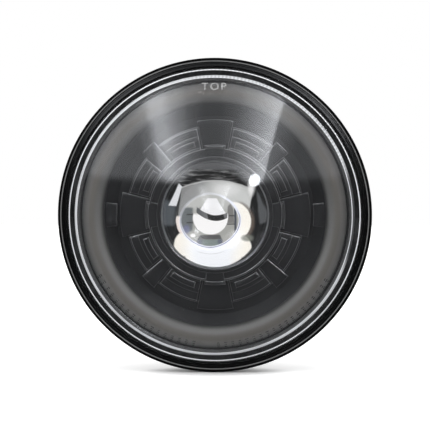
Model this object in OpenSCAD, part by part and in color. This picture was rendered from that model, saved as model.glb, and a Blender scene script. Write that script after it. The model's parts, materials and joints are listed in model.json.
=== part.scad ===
// Round seven inch motorcycle headlight insert: a domed glass front, a halo ring, a stepped
// bezel and one projector, in a die-cast bowl with a finned heat sink and a blade inlet behind.
// Pieces are drawn along the optical axis, z forwards and y up, and stood up at the end, so the
// lamp faces -Y with +Z up. The origin is the centre of the seating face behind the rim.

/* [Rim and bowl] */
// Outside diameter of the rim
rim_d = 178; // [172:0.5:186]
// Height of the rim in front of its seating face
rim_t = 5.6; // [5:0.1:7]
// Width of the lip that stands round the glass
lip_w = 4.8; // [4.4:0.1:6]
// Width of the seating face behind the rim
seat_w = 8.5; // [7.5:0.1:10]
// Thickness of the rim under the lens seal
rim_floor = 2.7; // [2.2:0.1:3.4]
// Length of the spigot behind the seating face
spigot_l = 14.5; // [13:0.5:18]
// Wall of the spigot
spigot_wall = 2.5; // [2:0.1:3]
// Thickness of the ledge that carries the halo board
ledge_t = 2.5; // [2:0.1:3.5]
// Wall of the bowl
bowl_wall = 2.5; // [2:0.1:3.2]
// Thickness of the back of the bowl
back_t = 4; // [3.5:0.1:6]
// Wall of the bowl where it meets its back
corner_wall = 4; // [3:0.5:6]
// Number of cooling fins round the bowl
fin_count = 30; // [20:1:36]
// Thickness of a cooling fin
fin_t = 1.8; // [1.4:0.1:2.4]
// Radial height of a fin at the back of the bowl
fin_foot = 4; // [2:0.5:7]
// Step from the spigot in to the front of the fins
fin_inset = 2.5; // [1.5:0.5:5]
// Width of a locating lug behind the rim
lug_w = 8; // [5:0.5:12]
// Height of a locating lug
lug_h = 2.5; // [1.5:0.1:4]

/* [Front glass] */
// Thickness of the glass
glass_t = 3.5; // [3:0.1:4.2]
// Gap between the edge of the glass and the lip
glass_gap = 1; // [0.5:0.1:1.6]
// Width of the flat flange of the glass
glass_flange_w = 4.2; // [3.8:0.1:5]
// Radius of the dome's outer sphere
dome_r = 150; // [130:1:180]
// Height of the step between the flange and the dome
dome_skirt = 3; // [2:0.1:4]
// Draft of that step, from its foot to the dome
skirt_draft = 1.4; // [0.8:0.1:2]
// Thickness of the seal under the glass
seal_t = 0.8; // [0.5:0.1:1.2]
// Width of the seal under the glass
seal_w = 3.9; // [3:0.1:4.6]

/* [Halo ring] */
// Gap between the spigot's wall and the halo diffuser
halo_gap = 2.5; // [1:0.1:3.5]
// Width of the diffuser
halo_w = 12.3; // [11.5:0.1:13.2]
// Wall of the diffuser
halo_wall = 1.8; // [1.2:0.1:2]
// Height of the diffuser's crest in front of the seating face
halo_crest = 5.15; // [4.5:0.05:6]
// Number of light emitters round the halo
halo_led_count = 36; // [24:12:36]
// Length of a halo emitter along the ring
halo_led_l = 3.5; // [2.5:0.1:3.8]
// Width of a halo emitter across the ring
halo_led_w = 2.8; // [2:0.1:3.2]
// Height of a surface mounted emitter
led_h = 0.8; // [0.5:0.1:1.2]
// Thickness of the circuit boards
board_t = 1.6; // [1:0.1:2]

/* [Bezel] */
// Height of the bosses that carry the bezel
boss_h = 7; // [6:0.1:8]
// Thickness of the bezel's outer flange and ears
bezel_t = 2; // [1.5:0.1:2.5]
// Wall of the moulded bezel
bezel_wall = 1.8; // [1.4:0.1:2.2]
// Depth of the bezel's dish below its flange
dish_depth = 5; // [4:0.1:5.4]
// Rise of the toothed plate above the dish
plate_rise = 1.5; // [1:0.1:2]
// Rise of the eight segments above the toothed plate
segment_rise = 1.5; // [1:0.1:2]
// Rise of the bars and ribs above what they stand on
bar_rise = 0.8; // [0.5:0.1:1.2]
// Radial width of the hub round the projector
hub_w = 7.1; // [6.9:0.1:8]
// Radial width of the lower step round the hub
hub_step_w = 1.4; // [1:0.1:1.8]
// Reach of the four inner blocks beyond the hub
block_reach = 2; // [1.2:0.1:3]
// Radial width of the segments
segment_w = 10.9; // [9:0.1:12]
// Radial width of the lower outer step of the segments
segment_step_w = 4.6; // [3:0.1:6]
// Radial width of the raised bar on each segment
bar_w = 3.4; // [2:0.1:4]
// Reach of the teeth beyond the segments
tooth_reach = 4; // [2.5:0.1:5]
// Half angle of the upper and the lower channel
wide_half = 11; // [9.5:0.1:14]
// Half angle of the two side channels
side_half = 13.6; // [11.5:0.1:15]
// Half angle of the four narrow channels
narrow_half = 5; // [3:0.1:8]
// Half angle of the upper and the lower inner block
block_half = 8.5; // [6:0.1:9]
// Half angle of the two side inner blocks
side_block_half = 11.2; // [8:0.1:11.3]
// Radial width of the raised lip round the projector's opening
hub_lip_w = 2.4; // [1.8:0.1:2.6]
// Half angle of the two side pads
pad_half = 6.2; // [4:0.1:8]
// Gap between the teeth and the side pads
pad_gap = 1.6; // [1:0.1:2]

/* [Projector] */
// Diameter of the projector lens over its flange
lens_d = 63.5; // [62:0.5:65]
// Thickness of the lens flange
lens_flange_t = 2.5; // [2:0.1:3]
// Width of the lens flange
lens_flange_w = 1.95; // [1.8:0.05:2.5]
// Radius of curvature at the tip of the lens
lens_tip_r = 24; // [23.5:0.1:27]
// Conic constant of the lens, for its flatter edge
lens_conic = -0.75; // [-0.95:0.01:-0.7]
// Refractive index that sets the focus
lens_index = 1.52; // [1.5:0.01:1.56]
// Distance of the lens's flat back behind the seating face
lens_set_back = 8; // [7:0.1:9]
// Thickness of the ring that holds the lens
retainer_t = 1.2; // [0.8:0.1:1.6]
// Wall of the lens holder
holder_wall = 2.5; // [2:0.1:3]
// Distance between the two focal points of a reflector
led_throw = 22; // [19:0.5:26]
// Distance from the light source to the back of its reflector
reflector_back = 7.5; // [6.5:0.1:9]
// Wall of a reflector
reflector_wall = 1.8; // [1.2:0.1:2.2]
// Thickness of the cut-off plate
cutoff_t = 0.8; // [0.5:0.1:1.2]
// Radius of the cut-off plate's hollow front edge
cutoff_edge_r = 60; // [45:1:90]
// Thickness of the blade between the reflectors
blade_t = 4; // [3:0.1:5]
// Width of each rail of the projector frame
rail_w = 7; // [6:0.1:8]
// Height of each rail of the projector frame
rail_h = 10; // [8:0.5:13]
// Thickness of the projector frame's base
base_t = 3.7; // [3:0.1:5]
// Gap between that base and the bowl's wall
base_gap = 2.5; // [1.5:0.5:6]

/* [Heat sink and inlet] */
// Radius of the opening in the back of the bowl
port_r = 20; // [17:0.5:22]
// Thickness of the gasket behind the bowl
gasket_t = 0.8; // [0.5:0.1:1.2]
// Thickness of the heat sink's plate
sink_t = 3.7; // [3:0.1:5]
// Number of fins on the heat sink
sink_fin_count = 20; // [12:4:28]
// Height of the heat sink's fins
sink_fin_h = 10; // [6:0.5:14]
// Distance of the heat sink's screws from its edge
sink_screw_inset = 9; // [7:0.5:11]
// Thickness of the pad that carries heat to the sink
thermal_pad_t = 0.5; // [0.3:0.1:0.8]
// Radius of the inlet's body
inlet_r = 12.5; // [11.8:0.1:13]
// Length of the inlet behind its flange
inlet_l = 8; // [6:0.5:12]
// Thickness of the inlet's flange
inlet_flange_t = 2.5; // [2:0.1:4]
// Width of a terminal blade
blade_w = 8; // [7:0.1:8.6]
// Thickness of a terminal blade
terminal_t = 0.8; // [0.6:0.1:1]
// Length of a terminal blade outside the inlet
terminal_l = 12.5; // [9:0.5:16]

/* [Driver] */
// Distance of the driver board behind the seating face
driver_depth = 46; // [44:0.5:48]
// Gap between the driver board's ring and the bowl's wall
driver_gap = 1.5; // [1:0.1:3]

/* [Screws and fits] */
// Gap between a part and what it drops into
fit = 0.3; // [0.2:0.05:0.4]
// Gap between a screw or blade and its hole
slip = 0.1; // [0.05:0.01:0.15]
// Shank radius of the small screws
screw_r = 1.25; // [1:0.05:1.5]
// Shank radius of the large screws
bolt_r = 2; // [1.5:0.1:2.3]

/* [Hidden] */
$fn = 96;

// Rim, spigot and glass, worked inwards from the rim
rim_r = rim_d / 2;
recess_r = rim_r - lip_w;
spigot_r = rim_r - seat_w;
wall_r = spigot_r - spigot_wall;
ledge_z = ledge_t - spigot_l;
glass_r = recess_r - glass_gap;
glass_z = rim_floor + seal_t;
foot_r = glass_r - glass_flange_w + 0.4;
glass_front_z = glass_z + glass_t;
dome_foot_z = glass_front_z + dome_skirt;
dome_foot_r = foot_r - skirt_draft;
dome_centre_z = dome_foot_z - sqrt(dome_r * dome_r - dome_foot_r * dome_foot_r);
dome_in_r = dome_foot_r - glass_t;

// Halo
halo_out_r = wall_r - halo_gap;
halo_in_r = halo_out_r - halo_w;
halo_mid_r = (halo_out_r + halo_in_r) / 2;
halo_arch_z = halo_crest - halo_w / 2;
mouth_r = halo_in_r - 1;
board_out_r = halo_out_r - halo_wall - fit;
board_in_r = mouth_r + 2;
bezel_boss_r = 3.2;
bezel_boss_at = halo_in_r + halo_wall + 3;

// Bezel, worked outwards from the projector
lens_r = lens_d / 2;
lens_clear_r = lens_r - lens_flange_w;
bezel_bore_r = lens_clear_r + 0.8;
hub_r = bezel_bore_r + hub_w;
hub_step_r = hub_r + hub_step_w;
segment_r = hub_step_r + segment_w;
plate_r = segment_r + 0.6;
tooth_r = segment_r + tooth_reach;
bezel_z = ledge_z + boss_h;
bezel_front_z = bezel_z + bezel_t;
bezel_lip_r = halo_in_r - 0.8;
bezel_flange_r = halo_in_r + halo_wall + 1;
bezel_ear_r = 4;
dish_z = bezel_front_z - dish_depth;
plate_z = dish_z + plate_rise;
segment_z = plate_z + segment_rise;

// Projector, from the lens back to its frame
lens_z = -lens_set_back;
lens_dome_r = lens_clear_r - 0.2;
lens_t = lens_flange_t + lens_sag(lens_dome_r);
focus_z = lens_z - (lens_tip_r / (lens_index - 1) - lens_t / lens_index);
holder_bore_r = lens_clear_r - 0.3;
holder_in_r = lens_r + fit;
holder_r = holder_in_r + holder_wall;
holder_top_z = lens_z + lens_flange_t;
retainer_z = holder_top_z + retainer_t;
clip_t = 1.2;
clip_r = holder_r + slip + clip_t;
hub_in_r = clip_r + fit;
hub_cavity_z = retainer_z + fit;
hub_z = hub_cavity_z + bezel_wall;
rail_in = holder_bore_r + 1.5;
rail_mid = rail_in + rail_w / 2;
rail_front_z = focus_z - 0.3;
holder_flange_t = 3;
ellipse_c = led_throw / 2;
ellipse_a = ellipse_c + reflector_back;
ellipse_b = sqrt(ellipse_a * ellipse_a - ellipse_c * ellipse_c);
ellipse_z = focus_z - ellipse_c;
source_z = focus_z - led_throw;
reflector_front_z = rail_front_z - 2;
blade_front_z = focus_z - 6.3;
wing_t = 2;
wing_out = 24;
wing_screw_x = 20;
cutoff_half_w = wing_screw_x - screw_r - 0.5;
cutoff_back_z = blade_front_z - 8;
base_r = rail_in + rail_w + 1.5;
bowl_floor_r = base_r + base_gap;
base_z = focus_z - led_throw - reflector_back - reflector_wall - fit;
floor_z = base_z - base_t;
source_board_l = 16;
source_board_w = 7;
source_board_t = 1.2;
chip_w = 2;
chip_h = 0.7;

// Bowl, from the ledge back to the heat sink
back_z = floor_z - back_t;
back_r = bowl_floor_r + corner_wall;
outer_ledge_r = mouth_r + bowl_wall;
sink_z = back_z - gasket_t;
sink_back_z = sink_z - sink_t;
sink_r = back_r - 1;
sink_boss_r = port_r - 0.5;
pad_z = floor_z - thermal_pad_t;
inlet_bore_r = inlet_r + fit;
inlet_flange_r = inlet_r + 2;
inlet_gasket_t = 0.8;
inlet_z = sink_back_z - inlet_gasket_t;
inlet_back_z = inlet_z - inlet_flange_t;
inlet_ear_x = inlet_flange_r + 3.5;
inlet_ear_r = 3.6;
frame_screw_at = base_r - 5;
sink_screw_at = sink_r - sink_screw_inset;
driver_z = -driver_depth;
driver_in_r = base_r + 1;
driver_out_r = bowl_in_r(driver_z - board_t) - driver_gap;
driver_mid_r = (driver_in_r + driver_out_r) / 2;
driver_room = (driver_out_r - driver_in_r) / 2;
driver_post_r = 3;
driver_post_at = driver_mid_r;
breather_at = halo_mid_r + 1.5;
breather_angle = -96;
breather_r = 5;
breather_shank_r = 2.5;
curve_steps = 10;

// Sag of the lens face at radius r, for a conic surface
function lens_sag(r) =
    r * r / (lens_tip_r * (1 + sqrt(1 - (1 + lens_conic) * r * r / (lens_tip_r * lens_tip_r))));
// Height of a sphere of radius s about height c, at radius r
function sphere_z(c, s, r) = c + sqrt(s * s - r * r);
// Quarter of an ellipse from (r1, z1) back to (r0, z0), as the bowl and its fins follow
function bowl_curve(r0, r1, z0, z1, flip = false) = [for (i = [0 : curve_steps])
    let (a = 90 * (flip ? curve_steps - i : i) / curve_steps)
    [r0 + (r1 - r0) * cos(a), z1 + (z0 - z1) * sin(a)]];

// Radius of the bowl's inside at height z
function bowl_in_r(z) = bowl_floor_r + (mouth_r - bowl_floor_r)
    * sqrt(1 - pow((z - ledge_z) / (floor_z - ledge_z), 2));

// Stands a piece up: z forwards becomes -Y and y becomes up
module stood() {
    rotate([90, 0, 0]) children();
}

module ring(r0, r1, z0, z1) {
    translate([0, 0, z0]) difference() {
        cylinder(r = r1, h = z1 - z0);
        translate([0, 0, -1]) cylinder(r = r0, h = z1 - z0 + 2);
    }
}

// Block between two radii, two angles and two heights
module sector(r0, r1, a0, a1, z0, z1) {
    rotate([0, 0, a0]) rotate_extrude(angle = a1 - a0) translate([r0, z0]) square([r1 - r0, z1 - z0]);
}

module rod(r, z0, z1) {
    translate([0, 0, z0]) cylinder(r = r, h = z1 - z0);
}

module round_about(count, start = 0) {
    for (i = [0 : count - 1]) rotate([0, 0, start + 360 * i / count]) children();
}

// Pan head screw with a socket, head seated at z and shank going back
module screw(r, l, z) {
    difference() {
        union() {
            rod(r, z - l, z + 0.1);
            rod(r * 1.8, z, z + r * 1.3);
        }
        translate([0, 0, z + r * 0.5]) cylinder(r = r * 0.8, h = r * 2, $fn = 6);
    }
}

// Glass front, one pressing: flat flange, low step and spherical dome
module front_lens() {
    steps = 24;
    color([0.85, 0.9, 0.92, 0.35]) stood() rotate_extrude() polygon(concat(
        [[dome_in_r + 0.5, glass_z], [glass_r, glass_z], [glass_r, glass_front_z - 0.8],
            [glass_r - 0.3, glass_front_z - 0.25], [glass_r - 0.9, glass_front_z],
            [foot_r + 0.3, glass_front_z], [foot_r, glass_front_z + 0.3]],
        [for (i = [0 : steps]) let (r = dome_foot_r * (1 - i / steps))
            [r, sphere_z(dome_centre_z, dome_r, r)]],
        [for (i = [0 : steps]) let (r = dome_in_r * i / steps)
            [r, sphere_z(dome_centre_z, dome_r - glass_t, r)]]));
}

module lens_seal() {
    color([0.06, 0.06, 0.06]) stood() ring(glass_r - seal_w, glass_r, rim_floor, glass_z);
}

// Section of the rim: seat for the seal, groove, two fine ridges, crest and sloped edge
module rim_section() {
    slope_w = lip_w * 0.27;
    crest_w = 0.6;
    ridge_w = 0.35;
    ridge_h = 0.35;
    groove_z = rim_t - 1;
    crest_r = rim_r - slope_w - crest_w;
    polygon([[wall_r, 0], [rim_r, 0], [rim_r, rim_t - 1.6], [rim_r - slope_w, rim_t],
        [crest_r, rim_t], [crest_r, groove_z + ridge_h / 2],
        [crest_r - ridge_w, groove_z + ridge_h / 2],
        [crest_r - ridge_w, groove_z + ridge_h * 1.6], [crest_r - 2 * ridge_w, groove_z + ridge_h * 1.6],
        [crest_r - 2 * ridge_w, groove_z + ridge_h / 2], [crest_r - 3 * ridge_w, groove_z + ridge_h / 2],
        [crest_r - 3 * ridge_w, groove_z + ridge_h], [crest_r - 4 * ridge_w, groove_z + ridge_h],
        [crest_r - 4 * ridge_w, groove_z], [recess_r, groove_z], [recess_r, rim_floor],
        [wall_r, rim_floor]]);
}

module bowl_outside() {
    rotate_extrude() polygon(concat([[0, 1], [spigot_r, 1], [spigot_r, -spigot_l]],
        bowl_curve(back_r, outer_ledge_r, back_z, -spigot_l), [[0, back_z]]));
}

module bowl_inside() {
    rotate_extrude() polygon(concat([[0, rim_t + 1], [wall_r, rim_t + 1], [wall_r, ledge_z]],
        bowl_curve(bowl_floor_r, mouth_r, floor_z, ledge_z), [[0, floor_z]]));
}

// Radial cooling fin, rooted in the bowl's wall
module bowl_fin() {
    root = bowl_wall / 2;
    rotate([90, 0, 0]) linear_extrude(fin_t, center = true) polygon(concat(
        bowl_curve(back_r + fin_foot, spigot_r - fin_inset, back_z + 3, -spigot_l + root),
        bowl_curve(back_r - root, outer_ledge_r - root, back_z + root, -spigot_l + root, true)));
}

module breather_place() {
    rotate([0, 0, breather_angle]) translate([breather_at, 0, 0]) children();
}

// Die-cast bowl with rim, spigot, fins, locating lugs and the bosses inside
module housing() {
    lug_in = spigot_r + 1.5;
    color([0.09, 0.09, 0.1]) stood() difference() {
        union() {
            rotate_extrude() rim_section();
            difference() {
                union() {
                    bowl_outside();
                    round_about(fin_count, 6) bowl_fin();
                }
                bowl_inside();
            }
            round_about(3, 90) translate([lug_in, -lug_w / 2, -lug_h])
                cube([rim_r - 2 - lug_in, lug_w, lug_h + 1]);
            round_about(4, 45) translate([bezel_boss_at, 0, 0]) rod(bezel_boss_r, ledge_z - 1, bezel_z);
            intersection() {
                bowl_outside();
                round_about(4, 45) translate([driver_post_at, 0, 0])
                    rod(driver_post_r, back_z, driver_z - board_t);
            }
        }
        rod(port_r, back_z - 1, floor_z + 1);
        round_about(4, 45) translate([bezel_boss_at, 0, 0])
            rod(screw_r + slip, bezel_z - boss_h + 0.5, bezel_z + 1);
        round_about(4, 15) translate([halo_mid_r, 0, 0])
            rod(screw_r + slip, ledge_z - 2, ledge_z + 1);
        round_about(4, 45) translate([driver_post_at, 0, 0])
            rod(screw_r + slip, driver_z - 9, driver_z);
        round_about(4, 45) translate([frame_screw_at, 0, 0])
            rod(bolt_r + slip, floor_z - 3, floor_z + 1);
        round_about(4) translate([sink_screw_at, 0, 0]) rod(bolt_r + slip, back_z - 1, back_z + 3);
        breather_place() rod(breather_shank_r + slip, -spigot_l - 1, ledge_z + 1);
    }
}

// Milky arch of the halo: outer skirt on the ledge, inner skirt on the bezel's flange
module halo_diffuser() {
    color([0.62, 0.6, 0.57]) stood() rotate_extrude() difference() {
        union() {
            intersection() {
                translate([halo_mid_r, halo_arch_z]) circle(r = halo_w / 2);
                translate([halo_in_r, halo_arch_z]) square([halo_w, halo_w]);
            }
            translate([halo_out_r - halo_wall, ledge_z]) square([halo_wall, halo_arch_z - ledge_z]);
            translate([halo_in_r, bezel_front_z]) square([halo_wall, halo_arch_z - bezel_front_z]);
        }
        translate([halo_mid_r, halo_arch_z]) circle(r = halo_w / 2 - halo_wall);
    }
}

// Ring board under the diffuser, notched round the bezel's bosses
module halo_board() {
    color([0.86, 0.87, 0.85]) stood() difference() {
        ring(board_in_r, board_out_r, ledge_z, ledge_z + board_t);
        round_about(4, 45) {
            translate([bezel_boss_at, 0, 0]) rod(bezel_boss_r + fit, ledge_z - 1, ledge_z + board_t + 1);
            translate([mouth_r - 1, -bezel_boss_r - fit, ledge_z - 1])
                cube([bezel_boss_at - mouth_r + 1, 2 * (bezel_boss_r + fit), board_t + 2]);
        }
        round_about(4, 15) translate([halo_mid_r, 0, 0])
            rod(screw_r + slip, ledge_z - 1, ledge_z + board_t + 1);
        breather_place() rod(1.5, ledge_z - 1, ledge_z + board_t + 1);
    }
}

module halo_leds() {
    color([0.95, 0.9, 0.55]) stood() round_about(halo_led_count)
        translate([halo_mid_r - halo_led_w / 2, -halo_led_l / 2, ledge_z + board_t])
            cube([halo_led_w, halo_led_l, led_h]);
}

module halo_screws() {
    color("silver") stood() round_about(4, 15) translate([halo_mid_r, 0, 0])
        screw(screw_r, board_t + 1.8, ledge_z + board_t);
}

// Dish, toothed plate's root, hub and flange of the bezel, as one turned section, with the ears
module bezel_core() {
    cone_r = bezel_lip_r - 1.25 * dish_depth;
    under_z = dish_z - bezel_wall;
    under_w = 0.4 * bezel_wall;
    lip_r = bezel_bore_r + hub_lip_w;
    hub_rim_r = hub_r - 1.2;
    hub_rim_z = hub_z + 0.35 * bar_rise;
    rotate_extrude() polygon([[hub_in_r, under_z], [cone_r + under_w, under_z],
        [bezel_lip_r + under_w, bezel_z], [bezel_flange_r, bezel_z],
        [bezel_flange_r, bezel_front_z], [bezel_lip_r, bezel_front_z], [cone_r, dish_z],
        [plate_r, dish_z], [plate_r, plate_z], [hub_r, plate_z], [hub_r, hub_rim_z],
        [hub_rim_r, hub_rim_z], [hub_rim_r, hub_z], [lip_r, hub_z], [lip_r, hub_z + bar_rise],
        [bezel_bore_r, hub_z + bar_rise], [bezel_bore_r, hub_cavity_z], [hub_in_r, hub_cavity_z]]);
    round_about(4, 45) difference() {
        union() {
            translate([bezel_boss_at, 0, 0]) rod(bezel_ear_r, bezel_z, bezel_front_z);
            translate([bezel_flange_r - 1, -bezel_ear_r, bezel_z])
                cube([bezel_boss_at - bezel_flange_r + 1, 2 * bezel_ear_r, bezel_t]);
        }
        translate([bezel_boss_at, 0, 0]) rod(screw_r + slip, bezel_z - 1, bezel_front_z + 1);
    }
}

// One of the eight segments, between two angles: two terraces and a raised bar
module bezel_segment(a0, a1) {
    step_r = segment_r - segment_step_w;
    step_z = segment_z - 0.6;
    bar_in = hub_step_r + 0.6;
    rotate([0, 0, a0]) rotate_extrude(angle = a1 - a0) polygon([[hub_r - 1, dish_z - 0.5],
        [segment_r, dish_z - 0.5], [segment_r, step_z], [step_r, step_z], [step_r, segment_z],
        [hub_r - 1, segment_z]]);
    sector(bar_in, bar_in + bar_w, a0 + 4, a1 - 3, dish_z, segment_z + bar_rise);
}

// Hollow behind a segment, which keeps the moulding's wall even
module under_segment(a0, a1) {
    inset = 2.6;
    sector(hub_step_r + bezel_wall, segment_r - bezel_wall, a0 + inset, a1 - inset,
        dish_z - bezel_wall - 1, segment_z - 0.6 - bezel_wall);
}

// Repeats a shape of the first quarter in all four
module quarters() {
    round_about(2) {
        children();
        mirror([1, 0, 0]) children();
    }
}

// Block that bridges the hub and a channel, over a half angle
module inner_block(half) {
    block_r = hub_r + block_reach;
    edge = 0.5;
    raised_half = half - 1.4;
    rotate([0, 0, -half]) rotate_extrude(angle = 2 * half) polygon([
        [hub_r - 1, dish_z], [block_r, dish_z], [block_r, hub_z + bar_rise / 2],
        [bezel_bore_r + 1.4, hub_z + bar_rise / 2], [bezel_bore_r + 1.4, hub_z - edge],
        [hub_r - 1, hub_z - edge]]);
    sector(hub_r + 0.2, block_r - 0.8, -raised_half, raised_half, dish_z, hub_z + bar_rise);
}

// Stepped relief round the projector: toothed plate, segments, hub with blocks, side pads
module bezel() {
    edge = 0.5;
    wide = wide_half + edge;
    side = side_half + edge;
    narrow = 45 - narrow_half - edge;
    channel_z = plate_z + 0.25;
    color([0.1, 0.1, 0.11]) stood() difference() {
        union() {
            bezel_core();
            round_about(2, 90)
                sector(hub_r - 1, tooth_r, -wide_half, wide_half, dish_z - edge, channel_z);
            round_about(2)
                sector(hub_r - 1, tooth_r, -side_half, side_half, dish_z - edge, channel_z);
            round_about(4, 45)
                sector(hub_r - 1, tooth_r, -narrow_half, narrow_half, dish_z - edge, channel_z);
            quarters() {
                bezel_segment(side, narrow);
                mirror([1, -1, 0]) bezel_segment(wide, narrow);
                sector(hub_r - edge, hub_step_r, side + edge, 90 - wide - edge, dish_z,
                    hub_z - bar_rise);
            }
            round_about(2, 90) inner_block(block_half);
            round_about(2) inner_block(side_block_half);
            round_about(2) sector(tooth_r + pad_gap, bezel_lip_r + edge, -pad_half, pad_half,
                dish_z - edge, bezel_front_z - edge);
        }
        quarters() {
            under_segment(side, narrow);
            mirror([1, -1, 0]) under_segment(wide, narrow);
        }
    }
}

module bezel_screws() {
    color("silver") stood() round_about(4, 45) translate([bezel_boss_at, 0, 0])
        screw(screw_r, bezel_t + boss_h - 1, bezel_front_z);
}

// Plano-convex projector lens with a flat flange
module projector_lens() {
    steps = 20;
    tip_z = lens_z + lens_t;
    color([0.9, 0.95, 1, 0.4]) stood() rotate_extrude() polygon(concat(
        [[0, lens_z], [lens_r, lens_z], [lens_r, holder_top_z]],
        [for (i = [0 : steps]) let (r = lens_dome_r * (1 - i / steps)) [r, tip_z - lens_sag(r)]]));
}

// Spring ring over the lens flange, with three clips down the holder's side
module lens_retainer() {
    clip_half = 9;
    clip_l = 4;
    color([0.12, 0.12, 0.13]) stood() difference() {
        rotate_extrude() polygon([[lens_clear_r, holder_top_z], [holder_r + slip, holder_top_z],
            [holder_r + slip, lens_z - clip_l], [clip_r, lens_z - clip_l], [clip_r, retainer_z],
            [lens_clear_r, retainer_z]]);
        round_about(3, 30 + clip_half) sector(holder_r - 1, clip_r + 1, 0, 120 - 2 * clip_half,
            lens_z - clip_l - 1, holder_top_z);
    }
}

// Lens holder: seat for the lens, tapered tube and the flange that joins the frame
module lens_holder() {
    tail_r = holder_bore_r + 0.5;
    flange_front_z = rail_front_z + holder_flange_t;
    color([0.14, 0.14, 0.15]) stood() difference() {
        union() {
            rotate_extrude() polygon([[holder_bore_r - 2, rail_front_z], [tail_r, rail_front_z],
                [tail_r, flange_front_z], [holder_r, lens_z - 6], [holder_r, holder_top_z],
                [holder_in_r, holder_top_z], [holder_in_r, lens_z], [holder_bore_r, lens_z],
                [holder_bore_r, lens_z - 4], [holder_bore_r - 2, flange_front_z]]);
            difference() {
                translate([0, 0, rail_front_z]) intersection() {
                    cylinder(r = rail_in + rail_w, h = holder_flange_t);
                    translate([-base_r, -rail_h / 2, 0]) cube([2 * base_r, rail_h, holder_flange_t]);
                }
                rod(tail_r - 0.5, rail_front_z - 1, flange_front_z + 1);
            }
        }
        round_about(2) translate([rail_mid, 0, 0])
            rod(screw_r + slip, rail_front_z - 1, flange_front_z + 8);
        round_about(2) translate([rail_mid, 0, 0])
            rod(screw_r * 1.8 + slip, flange_front_z, flange_front_z + 8);
    }
}

module holder_screws() {
    grip = 6;
    color("silver") stood() round_about(2) translate([rail_mid, 0, 0])
        screw(screw_r, holder_flange_t + grip, rail_front_z + holder_flange_t);
}

// Thin shade on the axis, its front edge hollowed to the lens's focal surface
module cutoff_plate() {
    reach = cutoff_edge_r - sqrt(cutoff_edge_r * cutoff_edge_r - cutoff_half_w * cutoff_half_w);
    color([0.75, 0.76, 0.78]) stood() difference() {
        translate([-cutoff_half_w, -cutoff_t / 2, cutoff_back_z])
            cube([2 * cutoff_half_w, cutoff_t, focus_z + reach - cutoff_back_z]);
        translate([0, 1, focus_z + cutoff_edge_r]) rotate([90, 0, 0]) cylinder(r = cutoff_edge_r, h = 2);
    }
}

// Solid of revolution with a reflector's elliptical section, grown by a wall
module ellipsoid(grow) {
    steps = 16;
    rotate_extrude() polygon(concat([[0, ellipse_z + ellipse_a + grow]],
        [for (i = [1 : steps - 1]) let (a = 90 - 180 * i / steps)
            [(ellipse_b + grow) * cos(a), ellipse_z + (ellipse_a + grow) * sin(a)]],
        [[0, ellipse_z - ellipse_a - grow]]));
}

// Half ellipsoid shell that stands on the blade, with two screwed wings
module reflector() {
    foot = blade_t / 2;
    big = 60;
    translate([0, foot, 0]) difference() {
        union() {
            intersection() {
                ellipsoid(reflector_wall);
                translate([-big / 2, 0, base_z]) cube([big, big / 2, reflector_front_z - base_z]);
            }
            translate([-wing_out, 0, source_z - 1]) cube([2 * wing_out, wing_t, reflector_front_z - 3 - source_z]);
        }
        ellipsoid(0);
        wing_screw_places() rod(screw_r + slip, -big, big);
    }
}

// The four screws of one reflector, turned so that their shanks go down through its wings
module wing_screw_places() {
    for (x = [-wing_screw_x, wing_screw_x])
        for (z = [source_z + 2, reflector_front_z - 5])
            translate([x, 0, z]) rotate([-90, 0, 0]) children();
}

module upper_reflector() {
    color([0.88, 0.89, 0.9]) stood() reflector();
}

module lower_reflector() {
    color([0.88, 0.89, 0.9]) stood() mirror([0, 1, 0]) reflector();
}

module reflector_screws() {
    color("silver") stood() for (flip = [0, 1]) mirror([0, flip, 0])
        translate([0, blade_t / 2, 0]) wing_screw_places() screw(screw_r, wing_t + 1.7, wing_t);
}

// Cast frame: base on the bowl's back, two rails, and the blade that cools both light sources
module projector_frame() {
    lead_way = 7;
    lead_depth = 2.2;
    color([0.62, 0.63, 0.65]) stood() difference() {
        union() {
            rod(base_r, floor_z, base_z);
            round_about(2) translate([rail_in, -rail_h / 2, base_z - 1])
                cube([rail_w, rail_h, rail_front_z - base_z + 1]);
            translate([-rail_in - 1, -blade_t / 2, base_z - 1])
                cube([2 * rail_in + 2, blade_t, blade_front_z - base_z + 1]);
        }
        translate([-cutoff_half_w - slip, -cutoff_t / 2 - slip, cutoff_back_z - slip])
            cube([2 * (cutoff_half_w + slip), cutoff_t + 2 * slip, 30]);
        for (flip = [0, 1]) mirror([0, flip, 0]) translate([0, blade_t / 2 - 1.8, 0])
            wing_screw_places() rod(screw_r + slip, 0, 10);
        round_about(2) translate([rail_mid, 0, 0])
            rod(screw_r + slip, rail_front_z - 7, rail_front_z + 1);
        round_about(4, 45) translate([frame_screw_at, 0, 0])
            rod(bolt_r + slip, floor_z - 1, base_z + 1);
        rod(inlet_bore_r, floor_z - 1, floor_z + lead_depth);
        translate([-lead_way / 2, -base_r - 1, floor_z - 1]) cube([lead_way, base_r, lead_depth + 1]);
    }
}

module frame_screws() {
    color("silver") stood() round_about(4, 45) translate([frame_screw_at, 0, 0])
        screw(bolt_r, base_t + 2.8, base_z);
}

module source_board() {
    translate([-source_board_l / 2, blade_t / 2, source_z - source_board_w / 2])
        cube([source_board_l, source_board_t, source_board_w]);
}

module source_chips() {
    pitch = 3;
    for (x = [-pitch, 0, pitch])
        translate([x - chip_w / 2, blade_t / 2 + source_board_t, source_z - chip_w / 2])
            cube([chip_w, chip_h, chip_w]);
}

module low_beam_board() {
    color([0.1, 0.1, 0.1]) stood() source_board();
}

module low_beam_leds() {
    color([0.95, 0.9, 0.5]) stood() source_chips();
}

module high_beam_board() {
    color([0.1, 0.1, 0.1]) stood() mirror([0, 1, 0]) source_board();
}

module high_beam_leds() {
    color([0.95, 0.9, 0.5]) stood() mirror([0, 1, 0]) source_chips();
}

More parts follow.
